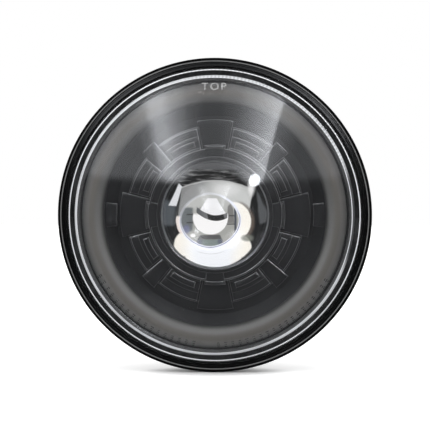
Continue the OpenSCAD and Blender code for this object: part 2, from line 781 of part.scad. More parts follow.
module thermal_pad() {
    color([0.5, 0.55, 0.6]) stood() ring(inlet_bore_r + 0.5, sink_boss_r - 1, pad_z, floor_z);
}

// Heat sink: plate, boss up to the projector frame, radial fins and the inlet's bore
module heat_sink() {
    fin_in = inlet_ear_x + inlet_ear_r + 1;
    color([0.1, 0.1, 0.11]) stood() difference() {
        union() {
            rod(sink_r, sink_back_z, sink_z);
            rod(sink_boss_r, sink_back_z, pad_z);
            round_about(sink_fin_count, 180 / sink_fin_count)
                translate([fin_in, -fin_t / 2, sink_back_z - sink_fin_h])
                    cube([sink_r - 1 - fin_in, fin_t, sink_fin_h + 1]);
        }
        rod(inlet_bore_r, sink_back_z - 1, pad_z + 1);
        round_about(4) translate([sink_screw_at, 0, 0])
            rod(bolt_r + slip, sink_back_z - 1, sink_z + 1);
        round_about(2) translate([inlet_ear_x, 0, 0])
            rod(screw_r + slip, sink_back_z - 1, sink_back_z + 3);
    }
}

module heat_sink_gasket() {
    color([0.07, 0.07, 0.07]) stood() difference() {
        ring(port_r + 0.5, sink_r, sink_z, back_z);
        round_about(4) translate([sink_screw_at, 0, 0]) rod(bolt_r + fit, sink_z - 1, back_z + 1);
    }
}

module heat_sink_screws() {
    color("silver") stood() round_about(4) translate([sink_screw_at, 0, 0])
        mirror([0, 0, 1]) screw(bolt_r, sink_t + gasket_t + 2.8, -sink_back_z);
}

// Ring board of the driver, on the four posts of the bowl
module driver_board() {
    color([0.05, 0.25, 0.12]) stood() difference() {
        ring(driver_in_r, driver_out_r, driver_z - board_t, driver_z);
        round_about(4, 45) translate([driver_post_at, 0, 0])
            rod(screw_r + slip, driver_z - board_t - 1, driver_z + 1);
    }
}

module driver_chips() {
    chip = [2 * min(4, driver_room), 6, 1.6];
    color([0.05, 0.05, 0.05]) stood() for (a = [15, 75, 165, 255, 345]) rotate([0, 0, a])
        translate([driver_mid_r - chip[0] / 2, -chip[1] / 2, driver_z]) cube(chip);
}

module driver_capacitors() {
    can_r = min(4, driver_room);
    can_h = 11;
    color([0.2, 0.2, 0.25]) stood() for (a = [195, 215, 285]) rotate([0, 0, a])
        translate([driver_mid_r, 0, driver_z]) cylinder(r = can_r, h = can_h);
}

// Wire-wound chokes, as drums with two flanges
module driver_chokes() {
    drum_r = min(6, driver_room);
    flange_t = 1.2;
    drum_h = 6.6;
    color([0.3, 0.3, 0.3]) stood() for (a = [105, 298]) rotate([0, 0, a])
        translate([driver_mid_r, 0, driver_z]) {
            cylinder(r = drum_r, h = flange_t);
            cylinder(r = 0.8 * drum_r, h = drum_h);
            translate([0, 0, drum_h - flange_t]) cylinder(r = drum_r, h = flange_t);
        }
}

module driver_screws() {
    grip = 6;
    color("silver") stood() round_about(4, 45) translate([driver_post_at, 0, 0])
        screw(screw_r, board_t + grip, driver_z);
}

// The three blades: one across the top and two upright at the sides
module blade_places() {
    side_x = 8;
    side_y = -2.5;
    top_y = 7;
    translate([0, top_y, 0]) children();
    for (x = [-side_x, side_x]) translate([x, side_y, 0]) rotate([0, 0, 90]) children();
}

// Terminal block: nose in the heat sink, flange with two ears, round body
module inlet_body() {
    nose_z = pad_z - 1;
    color([0.08, 0.08, 0.08]) stood() difference() {
        union() {
            rod(inlet_r, inlet_z - 1, nose_z);
            rod(inlet_flange_r, inlet_back_z, inlet_z);
            round_about(2) {
                translate([inlet_ear_x, 0, 0]) rod(inlet_ear_r, inlet_back_z, inlet_z);
                translate([0, -inlet_ear_r, inlet_back_z]) cube([inlet_ear_x, 2 * inlet_ear_r, inlet_flange_t]);
            }
            rod(inlet_r, inlet_back_z - inlet_l, inlet_back_z + 1);
        }
        blade_places() blade_solid(slip);
        round_about(2) translate([inlet_ear_x, 0, 0]) rod(screw_r + slip, inlet_back_z - 1, inlet_z + 1);
    }
}

// Flat blade with a chamfered tip, grown by a gap for its slot
module blade_solid(grow) {
    tip_z = inlet_back_z - inlet_l - terminal_l;
    half = blade_w / 2 + grow;
    translate([0, terminal_t / 2 + grow, 0]) rotate([90, 0, 0])
        linear_extrude(terminal_t + 2 * grow) polygon([[-half, pad_z - 0.4 + grow], [-half, tip_z + 1.5],
            [-half + 1.5, tip_z - grow], [half - 1.5, tip_z - grow], [half, tip_z + 1.5],
            [half, pad_z - 0.4 + grow]]);
}

module inlet_gasket() {
    color([0.07, 0.07, 0.07]) stood() difference() {
        ring(inlet_bore_r, inlet_flange_r, inlet_z, sink_back_z);
        round_about(2) translate([inlet_ear_x, 0, 0]) rod(screw_r + fit, inlet_z - 1, sink_back_z + 1);
    }
}

module inlet_screws() {
    color("silver") stood() round_about(2) translate([inlet_ear_x, 0, 0])
        mirror([0, 0, 1]) screw(screw_r, inlet_flange_t + inlet_gasket_t + 2.6, -inlet_back_z);
}

module terminal_blades() {
    color([0.78, 0.76, 0.7]) stood() blade_places() blade_solid(0);
}

// Breather plug in the ledge: hollow shank, and a pocket for the membrane under its cap
module breather_plug() {
    cap_h = 5;
    color([0.15, 0.15, 0.15]) stood() breather_place() difference() {
        union() {
            rod(breather_r, -spigot_l - cap_h, -spigot_l);
            rod(breather_shank_r, -spigot_l - 1, ledge_z - 0.2);
        }
        rod(1, -spigot_l - 3, ledge_z + 1);
        rod(3, -spigot_l - 3.4, -spigot_l - 3);
        rotate([0, 0, 45]) translate([-7, -0.6, -spigot_l - 3.4]) cube([14, 1.2, 0.4]);
    }
}

module breather_membrane() {
    color("white") stood() breather_place() rod(2.9, -spigot_l - 3.3, -spigot_l - 3);
}

front_lens();
lens_seal();
housing();
halo_diffuser();
halo_board();
halo_leds();
halo_screws();
bezel();
bezel_screws();
projector_lens();
lens_retainer();
lens_holder();
holder_screws();
cutoff_plate();
upper_reflector();
lower_reflector();
reflector_screws();
projector_frame();
frame_screws();
low_beam_board();
low_beam_leds();
high_beam_board();
high_beam_leds();
thermal_pad();
heat_sink();
heat_sink_gasket();
heat_sink_screws();
driver_board();
driver_chips();
driver_capacitors();
driver_chokes();
driver_screws();
inlet_body();
inlet_gasket();
inlet_screws();
terminal_blades();
breather_plug();
breather_membrane();
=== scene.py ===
import json
import math
import bpy
import bmesh
from mathutils import Matrix, Vector


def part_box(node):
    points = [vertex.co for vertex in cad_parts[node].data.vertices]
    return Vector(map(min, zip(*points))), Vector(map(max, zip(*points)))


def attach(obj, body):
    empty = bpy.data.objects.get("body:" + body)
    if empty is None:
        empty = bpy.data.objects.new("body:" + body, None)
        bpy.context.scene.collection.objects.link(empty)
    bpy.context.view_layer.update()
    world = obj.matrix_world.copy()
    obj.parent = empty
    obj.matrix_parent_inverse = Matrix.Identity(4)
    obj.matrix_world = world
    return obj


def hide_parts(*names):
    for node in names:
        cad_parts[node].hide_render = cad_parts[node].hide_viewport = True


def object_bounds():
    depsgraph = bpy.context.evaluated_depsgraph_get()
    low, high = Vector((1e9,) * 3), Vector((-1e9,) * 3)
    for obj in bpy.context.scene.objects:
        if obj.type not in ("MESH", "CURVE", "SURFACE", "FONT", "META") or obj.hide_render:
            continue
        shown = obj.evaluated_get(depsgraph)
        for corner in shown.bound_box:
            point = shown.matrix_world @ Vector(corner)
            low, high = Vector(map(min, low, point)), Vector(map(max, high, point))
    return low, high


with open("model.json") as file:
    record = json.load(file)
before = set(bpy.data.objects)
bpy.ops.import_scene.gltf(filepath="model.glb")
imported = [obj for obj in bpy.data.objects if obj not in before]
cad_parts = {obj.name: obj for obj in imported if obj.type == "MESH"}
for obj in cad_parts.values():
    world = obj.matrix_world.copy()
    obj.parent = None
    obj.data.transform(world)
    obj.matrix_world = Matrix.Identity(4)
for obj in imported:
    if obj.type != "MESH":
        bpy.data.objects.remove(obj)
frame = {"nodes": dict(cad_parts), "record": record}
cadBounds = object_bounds()
scene = bpy.context.scene
scene.view_settings.view_transform = "Standard"
nodes = frame["nodes"]
print("frame loaded:", len(nodes), "nodes")

mm = 0.001
fullTurn = 2 * math.pi
standUp = Matrix.Rotation(math.radians(90), 4, "X")    # the lamp is drawn with z forwards and y up


def front(node):    # how far a CAD node reaches forwards, in mm
    return -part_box(node)[0].y / mm


def back(node):
    return -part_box(node)[1].y / mm


def reach(node):    # its radius, in mm
    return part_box(node)[1].x / mm


class Wire:    # a shader socket that takes part in sums
    def __init__(self, tree, socket):
        self.tree = tree
        self.socket = socket

    def calc(self, operation, *values):
        return self.tree.add("ShaderNodeMath", {"operation": operation}, dict(enumerate(values)))

    def __add__(self, other):
        return self.calc("ADD", self, other)

    def __radd__(self, other):
        return self.calc("ADD", other, self)

    def __sub__(self, other):
        return self.calc("SUBTRACT", self, other)

    def __rsub__(self, other):
        return self.calc("SUBTRACT", other, self)

    def __mul__(self, other):
        return self.calc("MULTIPLY", self, other)

    def __rmul__(self, other):
        return self.calc("MULTIPLY", other, self)

    def __truediv__(self, other):
        return self.calc("DIVIDE", self, other)

    def __rtruediv__(self, other):
        return self.calc("DIVIDE", other, self)

    def __pow__(self, other):
        return self.calc("POWER", self, other)

    def __abs__(self):
        return self.calc("ABSOLUTE", self)

    def sine(self):
        return self.calc("SINE", self)

    def most(self, other):    # the larger of two
        return self.calc("MAXIMUM", self, other)

    def above(self, edge, soft):    # 0 below an edge, 1 above it
        limits = {"Value": self, "From Min": edge - soft, "From Max": edge + soft}
        return self.tree.add("ShaderNodeMapRange", {"interpolation_type": "SMOOTHSTEP"}, limits)

    def below(self, edge, soft):
        return 1 - self.above(edge, soft)

    def between(self, low, high, soft):
        return self.above(low, soft) * self.below(high, soft)


class Tree:    # adds nodes to a material's or the world's node tree
    def __init__(self, owner):
        owner.use_nodes = True
        self.tree = owner.node_tree

    def add(self, kind, settings=None, values=None, output=0):
        item = self.tree.nodes.new(kind)
        for key, value in (settings or {}).items():
            if key == "stops":
                self.setStops(item.color_ramp, value)
            else:
                setattr(item, key, value)
        for key, value in (values or {}).items():
            self.feed(item.inputs[key], value)
        return Wire(self, item.outputs[output])

    def feed(self, socket, value):
        if isinstance(value, Wire):
            self.tree.links.new(value.socket, socket)
        else:
            socket.default_value = value

    def setStops(self, ramp, stops):
        while len(ramp.elements) < len(stops):
            ramp.elements.new(1.0)
        for element, (position, colour) in zip(ramp.elements, stops):
            element.position = position
            element.color = colour

    def split(self, vector):
        item = self.add("ShaderNodeSeparateXYZ", None, {0: vector}).socket.node
        return [Wire(self, socket) for socket in item.outputs]

    def mix(self, factor, first, second):
        return self.add("ShaderNodeMix", {"data_type": "RGBA"}, {0: factor, 6: first, 7: second}, 2)


class Shade(Tree):    # one material with its Principled shader
    def __init__(self, name, constants):
        self.material = bpy.data.materials.new(name)
        super().__init__(self.material)
        self.surface = self.tree.nodes["Principled BSDF"]
        for socketName, value in constants.items():
            self.surface.inputs[socketName].default_value = value
        self.place = self.add("ShaderNodeTexCoord", output="Object")

    def axes(self):    # across, back and up, in mm
        return [part * 1000.0 for part in self.split(self.place)]

    def radius(self):    # distance from the lamp's axis, in mm
        x, z = self.axes()[::2]
        return (x * x + z * z) ** 0.5

    def noise(self, scale, detail=3.0, rough=0.5, vector=None):
        values = {"Vector": vector or self.place, "Scale": scale, "Detail": detail, "Roughness": rough}
        return self.add("ShaderNodeTexNoise", None, values)

    def set(self, socketName, value):
        self.feed(self.surface.inputs[socketName], value)

    def bump(self, height, strength, distance):
        values = {"Height": height, "Strength": strength, "Distance": distance}
        self.set("Normal", self.add("ShaderNodeBump", None, values))

    def blendShadow(self, tint):    # shadow rays pass as through clear glass
        clear = self.add("ShaderNodeBsdfTransparent", None, {"Color": tint})
        shadow = self.add("ShaderNodeLightPath", output="Is Shadow Ray")
        lit = Wire(self, self.surface.outputs[0])
        blend = self.add("ShaderNodeMixShader", None, {0: shadow, 1: lit, 2: clear})
        self.feed(self.tree.nodes["Material Output"].inputs["Surface"], blend)


def grey(value):
    return (value, value, value, 1)


def lathe(outline, steps):    # closed outline of (radius, height) in mm, turned about the axis
    bm = bmesh.new()
    corners = [bm.verts.new((r * mm, 0, z * mm)) for r, z in outline]
    edges = [bm.edges.new(pair) for pair in zip(corners, corners[1:] + corners[:1])]
    bmesh.ops.spin(bm, geom=corners + edges, cent=(0, 0, 0), axis=(0, 0, 1), angle=fullTurn,
                   steps=steps, use_merge=True)
    bmesh.ops.remove_doubles(bm, verts=bm.verts, dist=1e-6)
    bmesh.ops.dissolve_degenerate(bm, edges=bm.edges, dist=1e-7)
    bmesh.ops.recalc_face_normals(bm, faces=bm.faces)
    return bm


def arc(centre, radius, start, end, count):    # points of an arc, angles in degrees
    angles = [math.radians(start + (end - start) * i / count) for i in range(count + 1)]
    return [(centre[0] + radius * math.cos(a), centre[1] + radius * math.sin(a)) for a in angles]


def verts(made):
    return [v for v in made["geom"] if isinstance(v, bmesh.types.BMVert)]


def polar(vector):    # radius in mm and angle in degrees
    return math.hypot(vector.x, vector.y) / mm, math.degrees(math.atan2(vector.y, vector.x))


def column(bm, x, y, radius, low, high, segments=32):    # round bar along the lamp's axis, in mm
    spot = Matrix.Translation((x * mm, y * mm, (low + high) / 2 * mm))
    bmesh.ops.create_cone(bm, cap_ends=True, segments=segments, radius1=radius * mm,
                          radius2=radius * mm, depth=(high - low) * mm, matrix=spot)


def finishPiece(bm, name, materials, replaced=(), sharp=35):
    bmesh.ops.transform(bm, matrix=standUp, verts=bm.verts)
    mesh = bpy.data.meshes.new(name)
    bm.to_mesh(mesh)
    bm.free()
    mesh.polygons.foreach_set("use_smooth", [True] * len(mesh.polygons))
    mesh.set_sharp_from_angle(angle=math.radians(sharp))
    piece = bpy.data.objects.new(name, mesh)
    scene.collection.objects.link(piece)
    for material in materials:
        mesh.materials.append(material)
    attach(piece, "root")
    if replaced:
        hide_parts(*replaced)


# Materials

def castingMaterial(name, colour, roughness):    # powder coated casting
    shade = Shade(name, {"Specular IOR Level": 0.5})
    fine = shade.noise(2600, 4, 0.6)
    broad = shade.noise(60, 3, 0.5)
    shade.set("Base Color", shade.mix(broad.above(0.5, 0.15), grey(colour * 0.8), grey(colour * 1.2)))
    shade.set("Roughness", roughness + (broad - 0.5) * 0.12 + (fine - 0.5) * 0.1)
    shade.bump(fine * 0.6 + broad * 0.4, 0.25, 0.00012)
    return shade.material


def mouldingMaterial(name, low, high, roughness, gloss=0.5):    # spark eroded moulding
    shade = Shade(name, {"Specular IOR Level": gloss})
    grain = shade.noise(4200, 3, 0.6)
    sheen = shade.noise(35, 2, 0.5)
    shade.set("Base Color", shade.mix(sheen, low, high))
    shade.set("Roughness", roughness + (grain - 0.5) * 0.12 + (sheen - 0.5) * 0.08)
    shade.bump(grain, 0.15, 0.00006)
    return shade.material


def glassMaterial(name, ior):    # clear, with a breath of haze
    shade = Shade(name, {"Transmission Weight": 1.0, "IOR": ior, "Base Color": grey(1)})
    shade.set("Roughness", shade.noise(90, 3, 0.5).above(0.6, 0.3) * 0.012)
    shade.blendShadow((0.95, 0.96, 0.97, 1))
    return shade.material


def groundEdgeHighlightMaterial():    # ground edge of the glass, with a painted highlight where the light gathers, painted shade on the right of the step, and a fine hatch
    shade = Shade("groundEdgeHighlight", {"Specular IOR Level": 0.5, "Coat Weight": 0.3})
    x, z = shade.axes()[::2]
    r = (x * x + z * z) ** 0.5
    angle = z.calc("ARCTAN2", z, x)
    hatch = (angle * 230).sine() * (x * 0.6 + z).above(70, 15) * 0.16
    # painted shade: the step is darker on its right side
    shaded = r.between(77.9, 79.6, 0.2) * abs(angle + 0.02).below(0.36, 0.12)
    cloud = shade.noise(22, 3, 0.6)
    lit = (cloud.above(0.4, 0.3) * 0.4 + 0.6 - hatch) * (1 - shaded * 0.93)
    shade.set("Base Color", shade.mix(lit, (0.02, 0.021, 0.024, 1), (0.93, 0.95, 0.98, 1)))
    shade.set("Roughness", 0.3 + (cloud - 0.5) * 0.2)
    shade.bump(shade.noise(900, 3, 0.6), 0.1, 0.0001)
    return shade.material


def diffuserMaterial():    # smoked milky ring, browner over the light sources, with painted light on the lower side of its inner edge and painted shade darkening its flanks
    shade = Shade("smokedDiffuser", {"Specular IOR Level": 0.3})
    r = shade.radius()
    cloud = shade.noise(45, 3, 0.5)
    milky = shade.mix(cloud, (0.215, 0.211, 0.2, 1), (0.262, 0.257, 0.244, 1))
    z = shade.axes()[2]
    # painted light: lighter towards the inner edge on the lower side
    milky = shade.mix(r.below(68.0, 2.0) * z.below(-5, 25), milky, (0.38, 0.37, 0.35, 1))
    warm = shade.mix(abs(r - 69.8).below(2.6, 1.6) * 0.8, milky, (0.225, 0.202, 0.176, 1))
    warm = shade.mix(r.between(70.4, 72.2, 0.5) * 0.35, warm, (0.3, 0.295, 0.28, 1))
    # painted shade: dark towards both flanks of the arch
    shade.set("Base Color", shade.mix(abs(r - 68.9).above(5.4, 1.6), warm, grey(0.03)))
    shade.set("Roughness", 0.5 + (cloud - 0.5) * 0.1)
    shade.bump(shade.noise(1500, 3, 0.6), 0.1, 0.00005)
    return shade.material


def metalMaterial(name, colour, roughness):    # turned or rolled bare metal
    shade = Shade(name, {"Metallic": 1.0})
    x, y, z = shade.split(shade.place)
    streak = shade.add("ShaderNodeCombineXYZ", None, {0: x * 0.15, 1: y * 3.0, 2: z})
    line = shade.noise(900, 3, 0.6, streak)
    stain = shade.noise(120, 3, 0.5)
    dark = [part * 0.75 for part in colour[:3]] + [1]
    shade.set("Base Color", shade.mix(line * 0.5 + stain * 0.5, dark, colour))
    shade.set("Roughness", roughness + (line - 0.5) * 0.15)
    shade.bump(line, 0.12, 0.00005)
    return shade.material


def boardMaterial(name, mask, copper):    # solder mask over faint tracks and the weave under it
    shade = Shade(name, {"Specular IOR Level": 0.5})
    x, z = shade.axes()[::2]
    track = shade.add("ShaderNodeTexBrick", {"offset": 0.5},
                      {"Vector": shade.place, "Scale": 240.0, "Mortar Size": 0.06}, "Fac")
    weave = (x * 2.5).sine() * (z * 2.5).sine()
    shade.set("Base Color", shade.mix(track * 0.5, mask, copper))
    shade.set("Roughness", 0.32 + weave * 0.05)
    shade.bump(track + weave * 0.2, 0.2, 0.00005)
    return shade.material


def bezelEdgeHighlightMaterial():    # rounded edges of the relief, with a painted highlight ring by ring and painted shade on the hub's upper half
    shade = Shade("bezelEdgeHighlight", {"Specular IOR Level": 1.0, "Coat Weight": 1.0, "Coat Roughness": 0.12,
                                "Coat IOR": 2.1})
    highlightRings = ((30.0, 0.03), (32.4, 0.04), (32.8, 0.32), (33.3, 0.32), (33.8, 0.08), (36.0, 0.14),
             (36.4, 0.36), (37.0, 0.14), (37.4, 0.8), (38.0, 0.75), (38.5, 0.16), (39.3, 0.3),
             (39.6, 0.55), (43.3, 0.55), (44.0, 0.14), (45.0, 0.26), (49.2, 0.26), (49.5, 0.95),
             (50.2, 0.9), (50.6, 0.16), (54.0, 0.2), (55.2, 0.38), (60.0, 0.12))    # radius in mm, painted highlight tone
    first, width, strength = 30, 36, 0.27
    stops = [((place - first) / width, grey(value * strength)) for place, value in highlightRings]
    r = shade.radius()
    paintedLightTone = shade.add("ShaderNodeValToRGB", {"stops": stops}, {0: (r - first) / width})
    # painted shade: the hub's edges are darker on the upper half
    upperShade = r.below(37.1, 0.1) * shade.axes()[2].above(0, 8) * 0.8
    patchy = shade.noise(60, 3, 0.6)
    shade.set("Base Color", shade.mix(upperShade + patchy * 0.25, paintedLightTone, grey(0.02)))
    shade.set("Roughness", 0.3 + (patchy - 0.5) * 0.1)
    shade.bump(shade.noise(4200, 3, 0.6), 0.1, 0.00005)
    return shade.material


def retainerMaterial():    # black spring steel, with a painted highlight along its inner edge
    shade = Shade("blackSpring", {"Specular IOR Level": 0.8, "Coat Weight": 0.6, "Coat Roughness": 0.15})
    patchy = shade.noise(90, 3, 0.6)
    # painted highlight: bright grey inside the inner edge, varied by noise
    innerHighlight = shade.radius().below(30.9, 0.1) * (0.75 + patchy * 0.4)
    shade.set("Base Color", shade.mix(innerHighlight, grey(0.03), (0.42, 0.43, 0.44, 1)))
    shade.set("Roughness", 0.35 + (patchy - 0.5) * 0.15)
    shade.bump(shade.noise(2400, 3, 0.6), 0.1, 0.00005)
    return shade.material


def emitterMaterial():    # yellow phosphor
    shade = Shade("phosphor", {"Coat Weight": 0.6, "Coat Roughness": 0.15})
    speck = shade.noise(5000, 2, 0.5)
    shade.set("Base Color", shade.mix(speck, (0.85, 0.62, 0.12, 1), (0.95, 0.82, 0.35, 1)))
    shade.set("Roughness", 0.35 + speck * 0.2)
    shade.bump(speck, 0.1, 0.00005)
    return shade.material


def rubberMaterial(name, colour):
    shade = Shade(name, {"Specular IOR Level": 0.35})
    grain = shade.noise(1800, 4, 0.6)
    dust = shade.noise(70, 3, 0.6)
    shade.set("Base Color", shade.mix(dust.above(0.6, 0.2) * 0.5, colour, grey(0.11)))
    shade.set("Roughness", 0.78 + (grain - 0.5) * 0.2)
    shade.bump(grain, 0.3, 0.00008)
    return shade.material


blackCasting = castingMaterial("blackCasting", 0.012, 0.36)
rimPaint = mouldingMaterial("rimPaint", grey(0.0008), grey(0.002), 0.22, 0.35)
matBlack = mouldingMaterial("matBlack", grey(0.0008), grey(0.0018), 0.75, 0.03)
# painted highlight along the top of the rim's crest
crestHighlight = mouldingMaterial("crestHighlight", grey(0.12), grey(0.22), 0.3)
blackMoulding = mouldingMaterial("blackMoulding", grey(0.013), (0.018, 0.018, 0.02, 1), 0.42)
bezelEdgeHighlight = bezelEdgeHighlightMaterial()
frontGlassMaterial = glassMaterial("frontGlass", 1.49)
groundEdgeHighlight = groundEdgeHighlightMaterial()
lensGlass = glassMaterial("lensGlass", 1.52)
lensEdge = mouldingMaterial("lensEdge", (0.1, 0.105, 0.11, 1), (0.2, 0.205, 0.21, 1), 0.4)
smokedDiffuser = diffuserMaterial()
slotMaterials = {
    "clear_glass": frontGlassMaterial,
    "lens_glass": lensGlass,
    "black_rubber": rubberMaterial("blackRubber", grey(0.012)),
    "black_casting": blackCasting,
    "smoked_diffuser": smokedDiffuser,
    "white_board": boardMaterial("whiteBoard", (0.8, 0.81, 0.78, 1), (0.7, 0.7, 0.62, 1)),
    "phosphor": emitterMaterial(),
    "screw_steel": metalMaterial("screwSteel", (0.6, 0.6, 0.61, 1), 0.3),
    "black_moulding": blackMoulding,
    "black_spring": retainerMaterial(),
    "holder_casting": castingMaterial("holderCasting", 0.012, 0.55),
    "polished_plate": metalMaterial("polishedPlate", (0.7, 0.71, 0.72, 1), 0.15),
    "reflector_mirror": metalMaterial("reflectorMirror", (0.92, 0.93, 0.94, 1), 0.08),
    "bare_casting": metalMaterial("bareCasting", (0.55, 0.56, 0.58, 1), 0.42),
    "dark_board": boardMaterial("darkBoard", grey(0.012), (0.04, 0.035, 0.02, 1)),
    "grey_pad": rubberMaterial("greyPad", (0.28, 0.32, 0.36, 1)),
    "green_board": boardMaterial("greenBoard", (0.008, 0.08, 0.035, 1), (0.03, 0.16, 0.06, 1)),
    "chip_black": mouldingMaterial("chipBlack", grey(0.012), grey(0.02), 0.6),
    "capacitor_can": metalMaterial("capacitorCan", (0.16, 0.16, 0.2, 1), 0.35),
    "ferrite": castingMaterial("ferrite", 0.07, 0.6),
    "inlet_moulding": mouldingMaterial("inletMoulding", grey(0.014), grey(0.022), 0.55),
    "tinned_brass": metalMaterial("tinnedBrass", (0.7, 0.67, 0.58, 1), 0.28),
    "membrane_white": rubberMaterial("membraneWhite", (0.8, 0.8, 0.79, 1)),
}
for row in frame["record"]["subparts"]:
    nodeMesh = nodes[row["node"]].data
    nodeMesh.materials.clear()
    nodeMesh.materials.append(slotMaterials[row["material_slot"]])
print("materials made:", len(bpy.data.materials))


# Front glass, one smooth pressing with a ground step and edge that carry a painted highlight

glassSizes = {
    "thickness": 3.5,
    "foot": 78.9,           # foot of the step between flange and dome
    "domeFoot": 77.5,
    "domeRadius": 150.0,
    "domeSteps": 40,
    "edgeRound": 1.3,
    "edgeLight": 0.58,      # width of the edge's painted bright line
    "stepRound": 0.5,
    "rearRound": 0.3,
    "turnSteps": 256,
}


def domeHeight(s, r, depth=0.0):    # of the glass's outer face at a radius, in mm
    radius = s["domeRadius"] - depth
    return front("front_lens") - s["domeRadius"] + math.sqrt(radius * radius - r * r)


def frontGlass(s):    # flange, step and dome in one outline
    seat, edge = back("front_lens"), reach("front_lens")
    flange = seat + s["thickness"]
    steps = s["domeSteps"]
    inFoot = s["domeFoot"] - s["thickness"]
    small, large, rear = s["stepRound"], s["edgeRound"], s["rearRound"]
    outline = [(inFoot + small, seat), (edge - rear, seat)]
    outline += arc((edge - rear, seat + rear), rear, -90, 0, 3)[1:]
    outline += arc((edge - large, flange - large), large, 0, 90, 10)
    outline += arc((s["foot"] + small, flange + small), small, 270, 180, 5)
    for i in range(steps + 1):
        r = s["domeFoot"] * (1 - i / steps)
        outline.append((r, domeHeight(s, r)))
    for i in range(steps + 1):
        r = inFoot * i / steps
        outline.append((r, domeHeight(s, r, s["thickness"])))
    bm = lathe(outline, s["turnSteps"])
    # faces on the step and a band along the edge take the painted highlight
    for face in bm.faces:
        middle = face.calc_center_median()
        r, height = polar(middle)[0], middle.z / mm
        onStep = s["domeFoot"] < r < s["foot"] + 0.3 and height > flange + 0.1
        onEdge = edge - large < r < edge - large + s["edgeLight"] and height > flange - large
        face.material_index = 1 if onStep or onEdge else 0
    finishPiece(bm, "frontGlass", [frontGlassMaterial, groundEdgeHighlight], ("front_lens",), 40)


frontGlass(glassSizes)
print("front glass done")


# Marks moulded on the glass: the word TOP and two groups of plain dashes

markSizes = {
    "wordRadius": 72.3,
    "wordHeight": 4.6,
    "wordSpacing": 1.25,
    "dashRadius": 72.9,
    "dashRise": 1.1,        # from one row to the next
    "dashes": ((208, 261, 17), (272, 330, 19)),    # start and end angle, count
    "dashSize": (1.9, 0.5),
    "shortDash": 0.7,
    "proud": 0.18,
}


def onDome(s, r, angle):    # puts a mark on the dome, its top outwards
    tilt = math.asin(r / glassSizes["domeRadius"])
    place = Matrix.Translation((0, r * mm, (domeHeight(glassSizes, r) + s["proud"] / 2) * mm))
    return Matrix.Rotation(math.radians(angle - 90), 4, "Z") @ place @ Matrix.Rotation(-tilt, 4, "X")


def glassMarks(s):
    bm = bmesh.new()
    for start, end, count in s["dashes"]:
        for i in range(count):
            angle = start + (end - start) * i / (count - 1)
            width, height = s["dashSize"]
            for row in (-1, 0, 1):
                long = width * (s["shortDash"] if (i + row) % 3 else 1.0)
                spot = onDome(s, s["dashRadius"] + row * s["dashRise"], angle)
                made = bmesh.ops.create_cube(bm, size=mm)
                bmesh.ops.scale(bm, vec=(long, height, s["proud"] * 2), verts=made["verts"])
                bmesh.ops.transform(bm, matrix=spot, verts=made["verts"])
    word = bpy.data.curves.new("topWord", "FONT")
    word.body = "TOP"
    word.align_x = "CENTER"
    word.align_y = "CENTER"
    word.size = s["wordHeight"] * 1.4 * mm
    word.space_character = s["wordSpacing"]
    word.extrude = s["proud"] * mm
    word.resolution_u = 4
    wordObject = bpy.data.objects.new("topWord", word)
    wordMesh = bpy.data.meshes.new_from_object(wordObject)
    wordMesh.transform(onDome(s, s["wordRadius"], 90))
    bm.from_mesh(wordMesh)
    bpy.data.objects.remove(wordObject)
    bpy.data.meshes.remove(wordMesh)
    finishPiece(bm, "glassMarks", [markGlass], (), 30)


def markMaterial():    # raised glass, a little frosted, with painted light making the marks on the upper half lighter
    shade = Shade("markGlass", {"Specular IOR Level": 0.5})
    frost = shade.noise(700, 3, 0.6)
    # painted light: marks on the upper half are lighter and more opaque
    upperLit = shade.axes()[2].above(0, 5)
    shade.set("Base Color", shade.mix(upperLit, grey(0.09), grey(0.6)))
    shade.set("Roughness", 0.35 + (frost - 0.5) * 0.2)
    shade.set("Alpha", 0.15 + frost * 0.35 + upperLit * 0.3)
    return shade.material


markGlass = markMaterial()
glassMarks(markSizes)
print("glass marks done")


# Halo diffuser, a milky arch

haloSizes = {
    "width": 13.0,
    "wall": 1.8,
    "innerFoot": -3.0,
    "turnSteps": 224,
}


def haloRing(s):    # half round on top, hollow below
    half = s["width"] / 2
    outer, crest, ledge = reach("halo_diffuser"), front("halo_diffuser"), back("halo_diffuser")
    middle = (outer - half, crest - half)
    outline = [(outer - s["wall"], ledge), (outer, ledge)]
    outline += arc(middle, half, 0, 180, 40)
    outline += [(middle[0] - half, s["innerFoot"]), (middle[0] - half + s["wall"], s["innerFoot"])]
    outline += arc(middle, half - s["wall"], 180, 0, 32)
    bm = lathe(outline, s["turnSteps"])
    finishPiece(bm, "haloRing", [smokedDiffuser], ("halo_diffuser",), 50)


haloRing(haloSizes)
print("halo ring done")


# Stepped relief bezel: a flat polar grid whose faces are lifted level by level

bezelSizes = {
    "bore": 30.6, "lip": 33.0, "hubRim": 36.5, "hub": 37.7, "hubStep": 38.9, "block": 39.7,
    "barOut": 43.1, "terrace": 45.4, "segment": 49.8, "plate": 50.7, "tooth": 54.0,
    "coneFoot": 56.15, "coneTop": 62.4, "flange": 65.9,
    "sideHalf": 13.6, "wideHalf": 11.0, "narrowHalf": 5.0, "groove": 1.1,
    "sideBlock": 11.2, "wideBlock": 8.5, "blockInset": 1.4, "barInset": (4, 3),
    "padStart": 55.6, "padHalf": 6.5, "padTop": -3.5,
    "earAt": 68.0, "earRadius": 4.0,
    "under": -9.8, "cavity": -4.0, "cavityRadius": 36.2, "flangeUnder": -5.0,
    "dish": -8.0, "plateTop": -6.6, "channel": -6.15, "terraceTop": -5.6, "segmentTop": -5.0,
    "barTop": -4.2, "flangeTop": -3.0, "hubStepTop": -3.0, "hubTop": -2.25,
    "blockTop": -1.82, "lipTop": -1.4,
    "bevel": 0.34, "step": 3.0,    # step of the sweep in degrees
    "wall": 0.7, "sunk": 0.5,      # wall along the cone; how far a pad sinks into its neighbours
}


